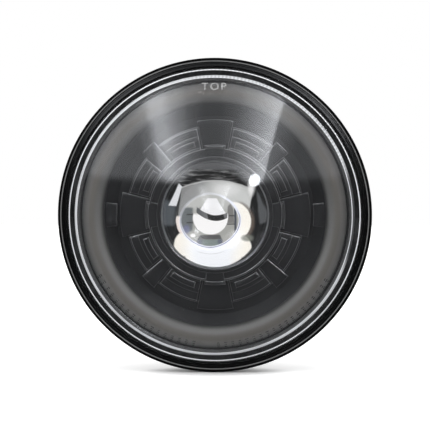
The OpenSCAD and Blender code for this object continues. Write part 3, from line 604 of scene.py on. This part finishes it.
def bezelHalf(s, side):    # angles from a channel's middle to the diagonal, for a side or an upper channel
    half, block = (s["sideHalf"], s["sideBlock"]) if side else (s["wideHalf"], s["wideBlock"])
    wide, narrow = half + s["groove"], 45 - s["narrowHalf"] - s["groove"]
    return [0, block - s["blockInset"], block, half, wide, wide + s["barInset"][0],
            narrow - s["barInset"][1], narrow, 45 - s["narrowHalf"], 45]


def bezelLevel(s, r, angle):    # height of the moulding at this radius and angle
    fold = abs((angle + 90) % 180 - 90)
    off = min(fold, 90 - fold)
    raised, block, half, wide, barStart, barEnd, narrow, tooth = bezelHalf(s, fold < 45)[1:-1]
    if r < s["lip"]:
        return s["lipTop"]
    if off < block and r < s["block"]:
        return s["lipTop"] if s["hub"] < r < s["hubStep"] and off < raised else s["blockTop"]
    if r < s["hub"]:
        return s["blockTop"] if r > s["hubRim"] else s["hubTop"]
    if r < s["hubStep"] and off > wide:
        return s["hubStepTop"]
    if wide < off < narrow and r < s["segment"]:
        if s["block"] < r < s["barOut"] and barStart < off < barEnd:
            return s["barTop"]
        return s["segmentTop"] if r < s["terrace"] else s["terraceTop"]
    if r < s["tooth"] and (off < half or off > tooth):
        return s["channel"]
    return s["plateTop"] if r < s["plate"] else s["dish"]


def bezelPlate(s):    # the grid, swept by quarters, then lifted level by level
    radii = [s[key] for key in ("bore", "lip", "hubRim", "hub", "hubStep", "block", "barOut",
                                "terrace", "segment", "plate", "tooth", "coneFoot")]
    stops = bezelHalf(s, True) + [90 - angle for angle in reversed(bezelHalf(s, False)[:-1])]
    bm = bmesh.new()
    line = [bm.verts.new((r * mm, 0, s["dish"] * mm)) for r in radii]
    sweep = line + [bm.edges.new(pair) for pair in zip(line, line[1:])]
    for _ in range(4):
        for start, end in zip(stops, stops[1:]):
            made = bmesh.ops.spin(bm, geom=sweep, cent=(0, 0, 0), axis=(0, 0, 1),
                                  angle=math.radians(end - start),
                                  steps=max(1, round((end - start) / s["step"])))
            sweep = made["geom_last"]
        stops = [90 - angle for angle in reversed(stops)]
    bmesh.ops.remove_doubles(bm, verts=bm.verts, dist=1e-6)
    bmesh.ops.recalc_face_normals(bm, faces=bm.faces)
    if sum(face.normal.z for face in bm.faces) < 0:
        bmesh.ops.reverse_faces(bm, faces=bm.faces)
    mark = bm.faces.layers.float.new("level")
    for face in bm.faces:
        face[mark] = bezelLevel(s, *polar(face.calc_center_median()))
    below = s["dish"]
    for level in sorted({face[mark] for face in bm.faces}):
        if level < below + 0.001:
            continue
        region = [f for f in bm.faces if f.normal.z > 0.5 and f[mark] > level - 0.001]
        made = bmesh.ops.extrude_face_region(bm, geom=region)
        bmesh.ops.delete(bm, geom=region, context="FACES_KEEP_BOUNDARY")
        bmesh.ops.translate(bm, verts=verts(made), vec=(0, 0, (level - below) * mm))
        below = level
    return bm


def carryLoop(bm, edges, radius, height):    # takes a round edge loop on to a new radius and height
    made = bmesh.ops.extrude_edge_only(bm, edges=edges)
    moved = verts(made)
    factor = radius / polar(moved[0].co)[0]
    bmesh.ops.scale(bm, vec=(factor, factor, 1), verts=moved)
    bmesh.ops.translate(bm, verts=moved, vec=(0, 0, height * mm - moved[0].co.z))
    return [e for e in made["geom"] if isinstance(e, bmesh.types.BMEdge)]


def sectorBlock(bm, inner, outer, middle, half, low, high):    # block between two radii, angles in degrees
    section = ((inner, low), (outer, low), (outer, high), (inner, high))
    corners = [bm.verts.new((r * mm, 0, z * mm)) for r, z in section]
    face = bm.faces.new(corners)
    turn = Matrix.Rotation(math.radians(middle - half), 3, "Z")
    bmesh.ops.rotate(bm, verts=corners, cent=(0, 0, 0), matrix=turn)
    made = bmesh.ops.spin(bm, geom=[face], cent=(0, 0, 0), axis=(0, 0, 1),
                          angle=math.radians(2 * half), steps=6)
    last = {f for v in verts({"geom": made["geom_last"]}) for f in v.link_faces}
    bmesh.ops.recalc_face_normals(bm, faces=list(last))


def bezel(s):    # relief plate with its cone, flange, pads, rounded edges and ears
    bm = bezelPlate(s)
    rim = [e for e in bm.edges if e.is_boundary and polar(e.verts[0].co)[0] > s["tooth"]]
    bore = [e for e in bm.edges if e.is_boundary and polar(e.verts[0].co)[0] < s["lip"]]
    for radius, height in ((s["coneTop"], s["flangeTop"]), (s["flange"], s["flangeTop"]),
                           (s["flange"], s["flangeUnder"]), (s["coneTop"] + s["wall"], s["flangeUnder"]),
                           (s["coneFoot"] + s["wall"], s["under"]), (s["cavityRadius"], s["under"]),
                           (s["cavityRadius"], s["cavity"])):
        rim = carryLoop(bm, rim, radius, height)
    bore = carryLoop(bm, bore, s["bore"], s["cavity"])
    bmesh.ops.bridge_loops(bm, edges=rim + bore)
    for middle in (0, 180):
        sectorBlock(bm, s["padStart"], s["coneTop"] + s["sunk"], middle, s["padHalf"], s["dish"] - s["sunk"],
                    s["padTop"])
    bmesh.ops.remove_doubles(bm, verts=bm.verts, dist=1e-6)
    bmesh.ops.recalc_face_normals(bm, faces=bm.faces)
    sharp = [e for e in bm.edges if e.calc_face_angle_signed(0) > math.radians(40)
             and e.verts[0].co.z > (s["dish"] - 0.6) * mm]
    made = bmesh.ops.bevel(bm, geom=sharp, affect="EDGES", offset=s["bevel"] * mm, segments=2,
                           profile=0.5, material=-1, clamp_overlap=True)
    # the rounded edges take the painted edge highlight
    for face in made["faces"]:
        face.material_index = 1
    for i in range(4):
        angle = math.radians(45 + 90 * i)
        column(bm, s["earAt"] * math.cos(angle), s["earAt"] * math.sin(angle), s["earRadius"],
               s["flangeUnder"], s["flangeTop"])
    finishPiece(bm, "bezelMoulding", [blackMoulding, bezelEdgeHighlight], ("bezel",), 30)


bezel(bezelSizes)
print("bezel done")


# Projector lens, and a glowing disc painted with what it shows of the reflectors

lensSizes = {
    "clear": 29.6,
    "flange": 2.5,
    "tipRadius": 24.0,
    "conic": -0.75,
    "steps": 48,
    "turnSteps": 160,
    "edge": 0.4,
}


def lensSag(s, r):    # how far the lens falls back at a radius, in mm
    inside = 1 - (1 + s["conic"]) * r * r / s["tipRadius"] ** 2
    return r * r / (s["tipRadius"] * (1 + math.sqrt(inside)))


def projectorLens(s):
    rear, radius, edge = back("projector_lens"), reach("projector_lens"), s["edge"]
    top = rear + s["flange"]
    outline = [(0, rear), (radius - edge, rear), (radius, rear + edge), (radius, top - edge)]
    outline.append((radius - edge, top))
    for i in range(s["steps"] + 1):
        r = s["clear"] * (1 - i / s["steps"])
        outline.append((r, front("projector_lens") - lensSag(s, r)))
    bm = lathe(outline, s["turnSteps"])
    for face in bm.faces:
        middle = face.calc_center_median()
        face.material_index = 1 if polar(middle)[0] > s["clear"] and middle.z > (top - 0.01) * mm else 0
    finishPiece(bm, "projectorGlass", [lensGlass, lensEdge], ("projector_lens",), 40)


viewSizes = {
    "shift": (1.1, 0.5),        # moves the picture to the left and down, in mm
    "spread": (2.08, 0.0346),   # the lens shows this plane larger, most at its middle
    "light": 1.12,
    "radius": 26.0,
    "thickness": 0.5,
    "behindLens": 8.0,
    "ring": (-2.3, -3.1, 17.2, 15.4),    # bright ring: centre across and up, half width and half height
}

viewPatches = {    # corners in mm across and up on the lens, counterclockwise
    "blueLeft": ((-30, -6), (-22.6, -6), (-21.6, 6), (-30, 10)),
    "blueRight": ((26.4, -5.5), (29.6, -4), (30.4, 2), (24.6, 14.5)),
    "field": ((-22.3, -5), (22.2, -5), (22.8, 15), (24.0, 21), (-18, 21), (-18.9, 15.9)),
    "seamLeft": ((-22.9, -11), (-21.9, -11), (-18.5, 16), (-19.3, 16)),
    "gapRight": ((20.6, -14), (24, -16), (25.5, 6), (23.8, 13), (22.6, 6)),
    "flash": ((-18.4, 16.3), (-20.1, 17.9), (-25.8, 5.4), (-21.6, 5.0)),
    "lobe": ((-16.0, -9.1), (-16.0, -30), (15.5, -30), (15.5, -11.9), (12, -5)),
    "paneLeft": ((-20, -11), (-12.4, -9), (-12.2, 4), (-20, 4.5)),
    "paneRight": ((7.2, -4.8), (11.4, -4.8), (10.8, 3.5), (9.2, 6.4), (7.6, 5.0)),
    "trayTop": ((-9.7, -14.0), (4.3, -14.0), (3.0, -11.4), (-8.0, -11.4)),
    "tray": ((-8.8, -18.6), (3.6, -18.6), (4.3, -14.0), (-9.7, -14.0)),
}

viewRounds = {    # centre across and up, half width and half height, in mm
    "fieldLight": (6.5, 14.5, 7.5, 3.6),
    "fieldDark": (-13.0, 13.5, 5.0, 3.0),
    "lampTail": (21.6, 16.6, 1.7, 4.4),
    "notch": (27.2, 16.3, 1.9, 1.0),
    "lobeLeft": (-15.7, -16.0, 6.7, 6.9),
    "lobeRight": (15.4, -17.8, 5.8, 6.1),
    "lobeLimit": (-1.1, -1.0, 28.6, 28.6),
    "arm": (10.4, -3.7, 11.0, 11.4),
    "fringe": (11.2, -3.9, 12.2, 12.2),
    "crescentShade": (19.0, -13.3, 3.4, 1.9),
    "violet": (-15.8, -8.2, 1.8, 2.4),
    "spark": (-12.3, -11.6, 1.3, 1.0),
    "disc": (-2.2, -1.2, 10.0, 10.0),
    "bellShade": (-7.5, 2.8, 2.6, 1.4),
}


def reflectorViewMaterial(s):    # painted reflection: bright and dark patches of the reflectors, as the lens spreads them, glowing by emission
    shade = Shade("reflectorView", {"Roughness": 0.4, "Base Color": grey(0.01),
                                    "Emission Strength": s["light"]})
    x, z = shade.axes()[::2]
    spread = s["spread"][0] - shade.radius() * s["spread"][1]
    waver = shade.noise(420, 3, 0.6) - 0.5
    cloud = shade.noise(70, 3, 0.5)
    u = x * spread + waver * 0.5 + s["shift"][0]
    v = z * spread + waver * 0.5 + s["shift"][1]

    def ellipse(name, soft):
        cu, cv, ru, rv = viewRounds[name]
        across, up = (u - cu) / ru, (v - cv) / rv
        return ((across * across + up * up) ** 0.5).below(1, soft / ru)

    def patch(name, soft):
        corners = viewPatches[name]
        mask = 1.0
        for (u0, v0), (u1, v1) in zip(corners, corners[1:] + corners[:1]):
            length = math.hypot(u1 - u0, v1 - v0)
            off = (v - v0) * ((u1 - u0) / length) - (u - u0) * ((v1 - v0) / length)
            mask = off.above(0, soft) * mask
        return mask

    # dark surroundings with a bluish left and right
    colour = shade.mix(patch("blueLeft", 1.5), grey(0.004), (0.075, 0.085, 0.095, 1))
    colour = shade.mix(patch("blueRight", 0.8), colour, (0.085, 0.09, 0.095, 1))
    # wavy dark streaks at the top
    strand = shade.add("ShaderNodeCombineXYZ", None, {0: u * 0.1, 1: v * 0.8})
    streak = shade.noise(1.0, 4, 0.65, strand)
    band = v.above(14.0, 1.5) * abs(u).below(20.5, 1.5)
    colour = shade.mix(band * streak.above(0.53, 0.05), colour, grey(0.1))
    colour = shade.mix(band * streak.above(0.61, 0.04), colour, grey(0.22))
    colour = shade.mix(v.above(26.3, 0.5), colour, (0.07, 0.071, 0.074, 1))
    # light field under the streaks, its top arched
    arch = v + (u - 1.0) * (u - 1.0) / 90
    field = arch.below(20.3, 0.35) * patch("field", 0.5)
    lighter = (u * 0.02 - arch * 0.02 + cloud * 1.5).above(0.55, 0.3)
    paintedLightTone = shade.mix(lighter, (0.24, 0.245, 0.245, 1), (0.55, 0.56, 0.55, 1))
    paintedLightTone = shade.mix(ellipse("fieldLight", 3.5) * 0.7, paintedLightTone, grey(0.7))
    paintedLightTone = shade.mix(ellipse("fieldDark", 2.5) * 0.6, paintedLightTone, grey(0.26))
    colour = shade.mix(field * v.above(-9, 5), colour, paintedLightTone)
    colour = shade.mix(field * abs(arch - 19.9).below(0.35, 0.2), colour, grey(0.45))
    colour = shade.mix(patch("seamLeft", 0.3) * 0.9, colour, grey(0.015))
    colour = shade.mix(patch("gapRight", 0.6), colour, grey(0.004))
    # bright patch at the left, tail of the bright lamp at the right
    colour = shade.mix(patch("flash", 0.35), colour, (0.74, 0.75, 0.78, 1))
    colour = shade.mix(ellipse("lampTail", 1.2) * 0.9, colour, grey(0.9))
    colour = shade.mix(ellipse("notch", 0.4), colour, grey(0.002))
    # white crescent, with a patch of painted shade on its right and a brown fringe
    sides = ellipse("lobeLeft", 0.5).most(ellipse("lobeRight", 0.5))
    lobes = ellipse("lobeLimit", 0.4) * patch("lobe", 0.3).most(sides)
    arm = ellipse("arm", 0.5) * (v - u * 0.1).below(6.6, 1.0)
    crescent = lobes.most(arm)
    colour = shade.mix(ellipse("fringe", 1.0) * u.above(14, 3) * 0.8, colour, (0.13, 0.1, 0.08, 1))
    warmer = (abs(u + 1) * 0.05 + cloud * 0.6).above(1.0, 0.35)
    colour = shade.mix(crescent, colour, shade.mix(warmer, (0.93, 0.95, 0.99, 1), (0.97, 0.93, 0.85, 1)))
    colour = shade.mix(ellipse("crescentShade", 1.3) * 0.85, colour, (0.17, 0.18, 0.15, 1))
    thinArc = abs(v + 22.2 - (u + 1.8) * (u + 1.8) * 0.026).below(0.15, 0.25) * abs(u + 2).below(8, 2)
    colour = shade.mix(thinArc * 0.5, colour, grey(0.35))
    # inside of the bright ring
    across, up = (u - s["ring"][0]) / s["ring"][2], (v - s["ring"][1]) / s["ring"][3]
    ringAt = ((abs(across) ** 1.85 + abs(up) ** 1.85) ** 0.54) * s["ring"][2]
    sliver = ringAt.between(17.0, 19.4, 0.3) * v.between(-10.5, -0.8, 0.8) * u.below(-10, 1)
    colour = shade.mix(sliver, colour, (0.86, 0.78, 0.74, 1))
    inner = shade.mix((v * 0.06 + cloud).above(0.6, 0.3), (0.36, 0.36, 0.34, 1), (0.47, 0.475, 0.46, 1))
    inner = shade.mix(patch("paneLeft", 0.8), inner, (0.12, 0.135, 0.14, 1))
    inner = shade.mix(ellipse("violet", 0.8) * 0.7, inner, (0.15, 0.16, 0.3, 1))
    bars = u.between(-15.7, -12.0, 0.3) * abs(abs(v + 2.1) - 2.3).below(0.4, 0.2)
    inner = shade.mix(bars, inner, grey(0.03))
    inner = shade.mix(patch("paneRight", 0.3), inner, (0.19, 0.185, 0.18, 1))
    bars = u.between(7.0, 11.8, 0.3) * abs(abs(v + 3.0) - 2.4).below(0.3, 0.2)
    inner = shade.mix(bars, inner, grey(0.04))
    post = u.between(11.4, 12.7, 0.3) * v.between(-10.5, 4.5, 0.8)
    inner = shade.mix(post, inner, (0.05, 0.058, 0.075, 1))
    inner = shade.mix(patch("trayTop", 0.4), inner, grey(0.07))
    inner = shade.mix(patch("tray", 0.3), inner, (0.17, 0.21, 0.2, 1))
    trayEnds = abs(u + 2.6).between(4.4, 7.2, 0.5) * v.between(-16.5, -14.0, 0.4)
    inner = shade.mix(trayEnds * 0.8, inner, (0.07, 0.08, 0.13, 1))
    inner = shade.mix(ellipse("spark", 0.8), inner, grey(0.95))
    colour = shade.mix(ringAt.below(16.9, 0.3), colour, inner)
    # bright lower disc, the cut-off plate's edge across it, the bell above
    colour = shade.mix(ellipse("disc", 0.3) * v.below(0.5, 1.0), colour, (0.95, 0.94, 0.94, 1))
    smile = v + 2.0 - (u - 0.8) * (u - 0.8) * 0.04
    bell = (abs(u + 1.6) - (9.7 - v) * 0.62).below(2.5, 0.3) * v.below(9.5, 0.25) * smile.above(1.5, 0.2)
    colour = shade.mix(ellipse("bellShade", 0.7) * 0.6, colour, grey(0.14))
    colour = shade.mix(bell, colour, (0.86, 0.86, 0.88, 1))
    edge = abs(smile).below(1.6, 0.2) * u.between(-10.2, 7.3, 0.3)
    metal = shade.mix(u.above(-7, 3), (0.09, 0.095, 0.1, 1), (0.17, 0.17, 0.175, 1))
    colour = shade.mix(edge, colour, metal)
    colour = shade.mix(edge * (u + smile * 0.3).between(-4.2, 5.4, 0.25), colour, grey(0.01))
    # bright double ring with a violet core
    ringLight = (u - v * 1.2).above(-8.0, 14.0) * 0.75 + 0.25
    colour = shade.mix(abs(ringAt - 17.1).below(0.75, 0.25) * ringLight, colour, (0.88, 0.9, 1.0, 1))
    core = abs(ringAt - 17.1).below(0.22, 0.14) * ringLight * v.below(2, 4)
    colour = shade.mix(core, colour, (0.12, 0.13, 0.25, 1))
    shade.set("Emission Color", colour)
    return shade.material


def reflectorView(s):    # a thin disc between the lens and the reflectors, glowing with their painted reflection
    bm = bmesh.new()
    height = back("projector_lens") - s["behindLens"]
    column(bm, 0, 0, s["radius"], height - s["thickness"], height, 96)
    finishPiece(bm, "reflectorView", [reflectorViewMaterial(s)], (), 30)


projectorLens(lensSizes)
reflectorView(viewSizes)
print("projector done")


# Die-cast bowl: rim with its crest and ridges, spigot, finned bowl

bowlSizes = {
    "rimHeight": 5.6, "slope": 1.5, "crest": 0.7, "faceFoot": 4.5, "faceTop": 5.0,
    "ridge": 0.3, "ridgeAt": 85.7, "blackFrom": 83.0,
    "recess": 84.2, "rimFloor": 2.7, "wall": 78.0, "spigot": 80.5, "spigotLength": 14.5,
    "ledge": -12.0, "mouth": 62.2, "outerLedge": 64.7,
    "floorRadius": 42.0, "floorThickness": 4.0, "cornerWall": 4.0, "port": 20.0,
    "finCount": 30, "finThickness": 1.8, "finFoot": 4.0, "finInset": 2.5, "finStart": 6,
    "finBevel": 0.35, "finSunk": 1.25,
    "lugAt": 84.5, "lugDepth": 5.0, "lugWidth": 8.0, "lugHeight": 2.5,
    "bossAt": 68.0, "bossRadius": 3.2, "bossTop": -5.0,
    "postAt": 48.75, "postRadius": 3.0, "postTop": -47.6,
    "rearRound": 0.4, "sideRound": 0.5, "sideTop": 3.7,
    "curveSteps": 24, "turnSteps": 256,
}


def bowlCurve(s, inner, outer, low, high):    # quarter of an ellipse from the mouth to the floor
    steps = s["curveSteps"]
    angles = [math.radians(90 * i / steps) for i in range(steps + 1)]
    return [(inner + (outer - inner) * math.cos(a), high + (low - high) * math.sin(a)) for a in angles]


def bowl(s):
    rim = reach("housing")
    rear = back("housing")
    floor = rear + s["floorThickness"]
    top = s["rimHeight"]
    half = s["crest"] / 2
    crest = rim - s["slope"] - half
    ridge, ridgeAt = s["ridge"], s["ridgeAt"]
    foot, inner = s["faceFoot"], s["recess"] + 0.2
    rise = (s["faceTop"] - foot) / (crest - half - inner)    # the rim's face leans outwards
    ridgeFoot = foot + rise * (crest - half - ridgeAt)
    rearRound, sideRound = s["rearRound"], s["sideRound"]
    outline = [(s["spigot"], 0)] + arc((rim - rearRound, rearRound), rearRound, -90, 0, 4)
    outline += arc((rim - sideRound, s["sideTop"]), sideRound, 0, 50, 4)
    outline += arc((crest, top - half), half, 40, 180, 12) + [(crest - half, foot)]
    outline += [(ridgeAt + ridge / 2, ridgeFoot)] + arc((ridgeAt, ridgeFoot + 0.15), ridge / 2, 0, 180, 6)
    outline += [(ridgeAt - ridge / 2, ridgeFoot + 0.02), (inner, s["faceTop"]),
                (s["recess"], s["faceTop"] - 0.2), (s["recess"], s["rimFloor"]),
                (s["wall"], s["rimFloor"]), (s["wall"], s["ledge"])]
    outline += bowlCurve(s, s["floorRadius"], s["mouth"], floor, s["ledge"])
    outline += [(s["port"], floor), (s["port"], rear)]
    outer = bowlCurve(s, s["floorRadius"] + s["cornerWall"], s["outerLedge"], rear, -s["spigotLength"])
    outline += outer[::-1] + [(s["spigot"] - 0.3, -s["spigotLength"]), (s["spigot"], 0.3 - s["spigotLength"])]
    bm = lathe(outline, s["turnSteps"])
    for face in bm.faces:
        middle = face.calc_center_median()
        r, height = polar(middle)[0], middle.z / mm
        # the crest's top takes the painted highlight
        if height > top - 0.45:
            face.material_index = 2
        elif r > s["blackFrom"] and height > 2.0:
            face.material_index = 3 if r > rim - s["slope"] else 1
    # one fin, then its copies round the bowl
    shell = bmesh.new()
    sunk, corner = s["finSunk"], s["floorRadius"] + s["cornerWall"]
    finTop = sunk - s["spigotLength"]
    crestLine = bowlCurve(s, corner + s["finFoot"], s["spigot"] - s["finInset"], rear + 3, finTop)
    footLine = bowlCurve(s, corner - sunk, s["outerLedge"] - sunk, rear + sunk, finTop)
    fin = [shell.verts.new((r * mm, 0, z * mm)) for r, z in crestLine + footLine[::-1]]
    face = shell.faces.new(fin)
    bmesh.ops.translate(shell, verts=fin, vec=(0, -s["finThickness"] / 2 * mm, 0))
    made = bmesh.ops.extrude_face_region(shell, geom=[face])
    bmesh.ops.translate(shell, verts=verts(made), vec=(0, s["finThickness"] * mm, 0))
    bmesh.ops.recalc_face_normals(shell, faces=shell.faces)
    bmesh.ops.bevel(shell, geom=[e for e in shell.edges if e.calc_face_angle(0) > 1.2], affect="EDGES",
                    offset=s["finBevel"] * mm, segments=2, profile=0.5, material=-1, clamp_overlap=True)
    turn = Matrix.Rotation(math.radians(s["finStart"]), 3, "Z")
    bmesh.ops.rotate(shell, verts=shell.verts, cent=(0, 0, 0), matrix=turn)
    count = s["finCount"]
    bmesh.ops.spin(shell, geom=shell.verts[:] + shell.edges[:] + shell.faces[:], cent=(0, 0, 0),
                   axis=(0, 0, 1), angle=fullTurn * (count - 1) / count, steps=count - 1, use_duplicate=True)
    # three lugs behind the rim
    for i in range(3):
        made = bmesh.ops.create_cube(shell, size=mm)
        bmesh.ops.scale(shell, vec=(s["lugDepth"], s["lugWidth"], s["lugHeight"] + 1), verts=made["verts"])
        bmesh.ops.translate(shell, verts=made["verts"],
                            vec=(s["lugAt"] * mm, 0, (1 - s["lugHeight"]) / 2 * mm))
        turn = Matrix.Rotation(math.radians(90 + 120 * i), 3, "Z")
        bmesh.ops.rotate(shell, verts=made["verts"], cent=(0, 0, 0), matrix=turn)
    # bosses for the bezel and posts for the projector
    for i in range(4):
        c, n = math.cos(math.radians(45 + 90 * i)), math.sin(math.radians(45 + 90 * i))
        column(shell, s["bossAt"] * c, s["bossAt"] * n, s["bossRadius"], s["ledge"] - 1, s["bossTop"])
        column(shell, s["postAt"] * c, s["postAt"] * n, s["postRadius"], floor, s["postTop"])
    extra = bpy.data.meshes.new("extra")
    shell.to_mesh(extra)
    shell.free()
    bm.from_mesh(extra)
    bpy.data.meshes.remove(extra)
    finishPiece(bm, "bowlCasting", [blackCasting, rimPaint, crestHighlight, matBlack], ("housing",),
                40)


bowl(bowlSizes)
print("bowl done")


# Camera, lights, floor and background

cameraSizes = {
    "distance": 1.3,
    "frameWidth": 0.2429,    # how much the picture spans at the rim
    "rimHeight": 0.0056,
    "right": 0.048,
    "up": 0.03,
    "aim": (0.0001, 0.0),    # what the picture's middle shows, sideways and up
}


def makeCamera(s):
    data = bpy.data.cameras.new("camera")
    data.sensor_width = 36.0
    data.lens = data.sensor_width * (s["distance"] - s["rimHeight"]) / s["frameWidth"]
    camera = bpy.data.objects.new("camera", data)
    camera.location = (s["right"], -s["distance"], s["up"])
    aim = Vector((s["aim"][0], 0, s["aim"][1])) - camera.location
    camera.rotation_euler = aim.to_track_quat("-Z", "Y").to_euler()
    scene.collection.objects.link(camera)
    scene.camera = camera


studioSizes = {
    "level": 1.05,        # light on matt surfaces
    "darkSide": 0.10,     # what gloss sees on the camera's side
    "strips": 6.0,        # two strip lights overhead, in front of the lamp
    "offset": (0.037, 0.023),    # shifts the strips, for a camera that isn't quite on the axis
    "span": 0.7,          # sideways part of the directions below
    "splay": 0.38,        # how much the strips draw apart upwards
    "stripFoot": (0.27, 0.09),   # lower end of the strips, and how much higher it is in the middle
    "stripTop": 0.95,
    "lamp": (0.286, 0.256),    # direction of a small bright lamp, sideways and up
    "lampSize": 0.042,
    "lampLight": 20.0,
    "tint": (0.965, 0.99, 1.04, 1),    # what gloss sees is a little cooler
    "profile": ((-0.59, 0.14), (-0.50, 0.28), (-0.44, 0.66), (-0.38, 0.74), (-0.29, 0.42),
                (-0.18, 0.17), (-0.07, 0.08), (0.05, 0.08), (0.18, 0.17), (0.29, 0.38),
                (0.38, 0.62), (0.44, 0.84), (0.466, 0.84), (0.487, 0.22), (0.66, 0.08)),
}


def studioWorld(s):    # even light, and two strips and a small lamp for gloss and glass alone
    world = bpy.data.worlds.new("studio")
    scene.world = world
    sky = Tree(world)
    x, y, z = sky.split(sky.add("ShaderNodeTexCoord", output="Generated"))
    stops = [((place / s["span"] + 1) / 2, grey(value)) for place, value in s["profile"]]
    aside, up = x - s["lamp"][0], z - s["lamp"][1]
    spot = ((aside * aside * 1.2 + up * up) ** 0.5).below(s["lampSize"], 0.012) * y.below(-0.5, 0.1)
    x, z = x + s["offset"][0], z + s["offset"][1]
    sideways = x / ((z - 0.75) * s["splay"] + 1)
    across = sky.add("ShaderNodeValToRGB", {"stops": stops}, {0: (sideways / s["span"] + 1) / 2})
    foot = abs(x).below(0.2, 0.08) * s["stripFoot"][1] + s["stripFoot"][0]
    ends = z.above(foot, 0.04) * z.below(s["stripTop"], 0.05)
    strips = across * s["strips"] * ends * y.below(-0.25, 0.2)
    room = y.above(-0.35, 0.35) * (1 - s["darkSide"]) + s["darkSide"]
    path = sky.add("ShaderNodeLightPath").socket.node.outputs
    mirrored = Wire(sky, path["Is Glossy Ray"]).most(Wire(sky, path["Is Transmission Ray"]))
    level = (room + strips + spot * s["lampLight"] - s["level"]) * mirrored + s["level"]
    seen = Wire(sky, path["Is Camera Ray"])
    background = sky.tree.nodes["Background"]
    sky.feed(background.inputs["Color"], sky.mix(mirrored, grey(1), s["tint"]))
    sky.feed(background.inputs["Strength"], (1 - level) * seen + level)


floorSizes = {
    "half": 3.0,
    "below": 0.0001,        # gap under the lamp
    "shadow": (30, 22),     # how far the shadow reaches, sideways and back, in mm; beyond this oval painted light covers it
}


def paleFloor(s):    # its shadow fades within a short way, where painted light, seen by the camera alone, brightens the floor outside an oval round the lamp
    bm = bmesh.new()
    bmesh.ops.create_grid(bm, x_segments=2, y_segments=2, size=s["half"])
    bmesh.ops.translate(bm, verts=bm.verts, vec=(0, 0, cadBounds[0][2] - s["below"]))
    mesh = bpy.data.meshes.new("floor")
    bm.to_mesh(mesh)
    bm.free()
    floor = bpy.data.objects.new("floor", mesh)
    scene.collection.objects.link(floor)
    shade = Shade("paleFloor", {"Base Color": grey(0.96), "Specular IOR Level": 0.0,
                                "Emission Strength": 0.5})
    x, y = shade.axes()[:2]
    seen = shade.add("ShaderNodeLightPath", output="Is Camera Ray")
    # painted light: camera-only glow outside the oval hides the far shadow
    lit = ((x / s["shadow"][0]) ** 2 + (y / s["shadow"][1]) ** 2).above(1.2, 1.2) * seen
    shade.set("Emission Color", shade.mix(lit, grey(0), grey(1)))
    shade.set("Roughness", shade.noise(8, 2, 0.5) * 0.1 + 0.85)
    mesh.materials.append(shade.material)
    floor.visible_glossy = False
    floor.visible_transmission = False


makeCamera(cameraSizes)
studioWorld(studioSizes)
paleFloor(floorSizes)
print("stage done")
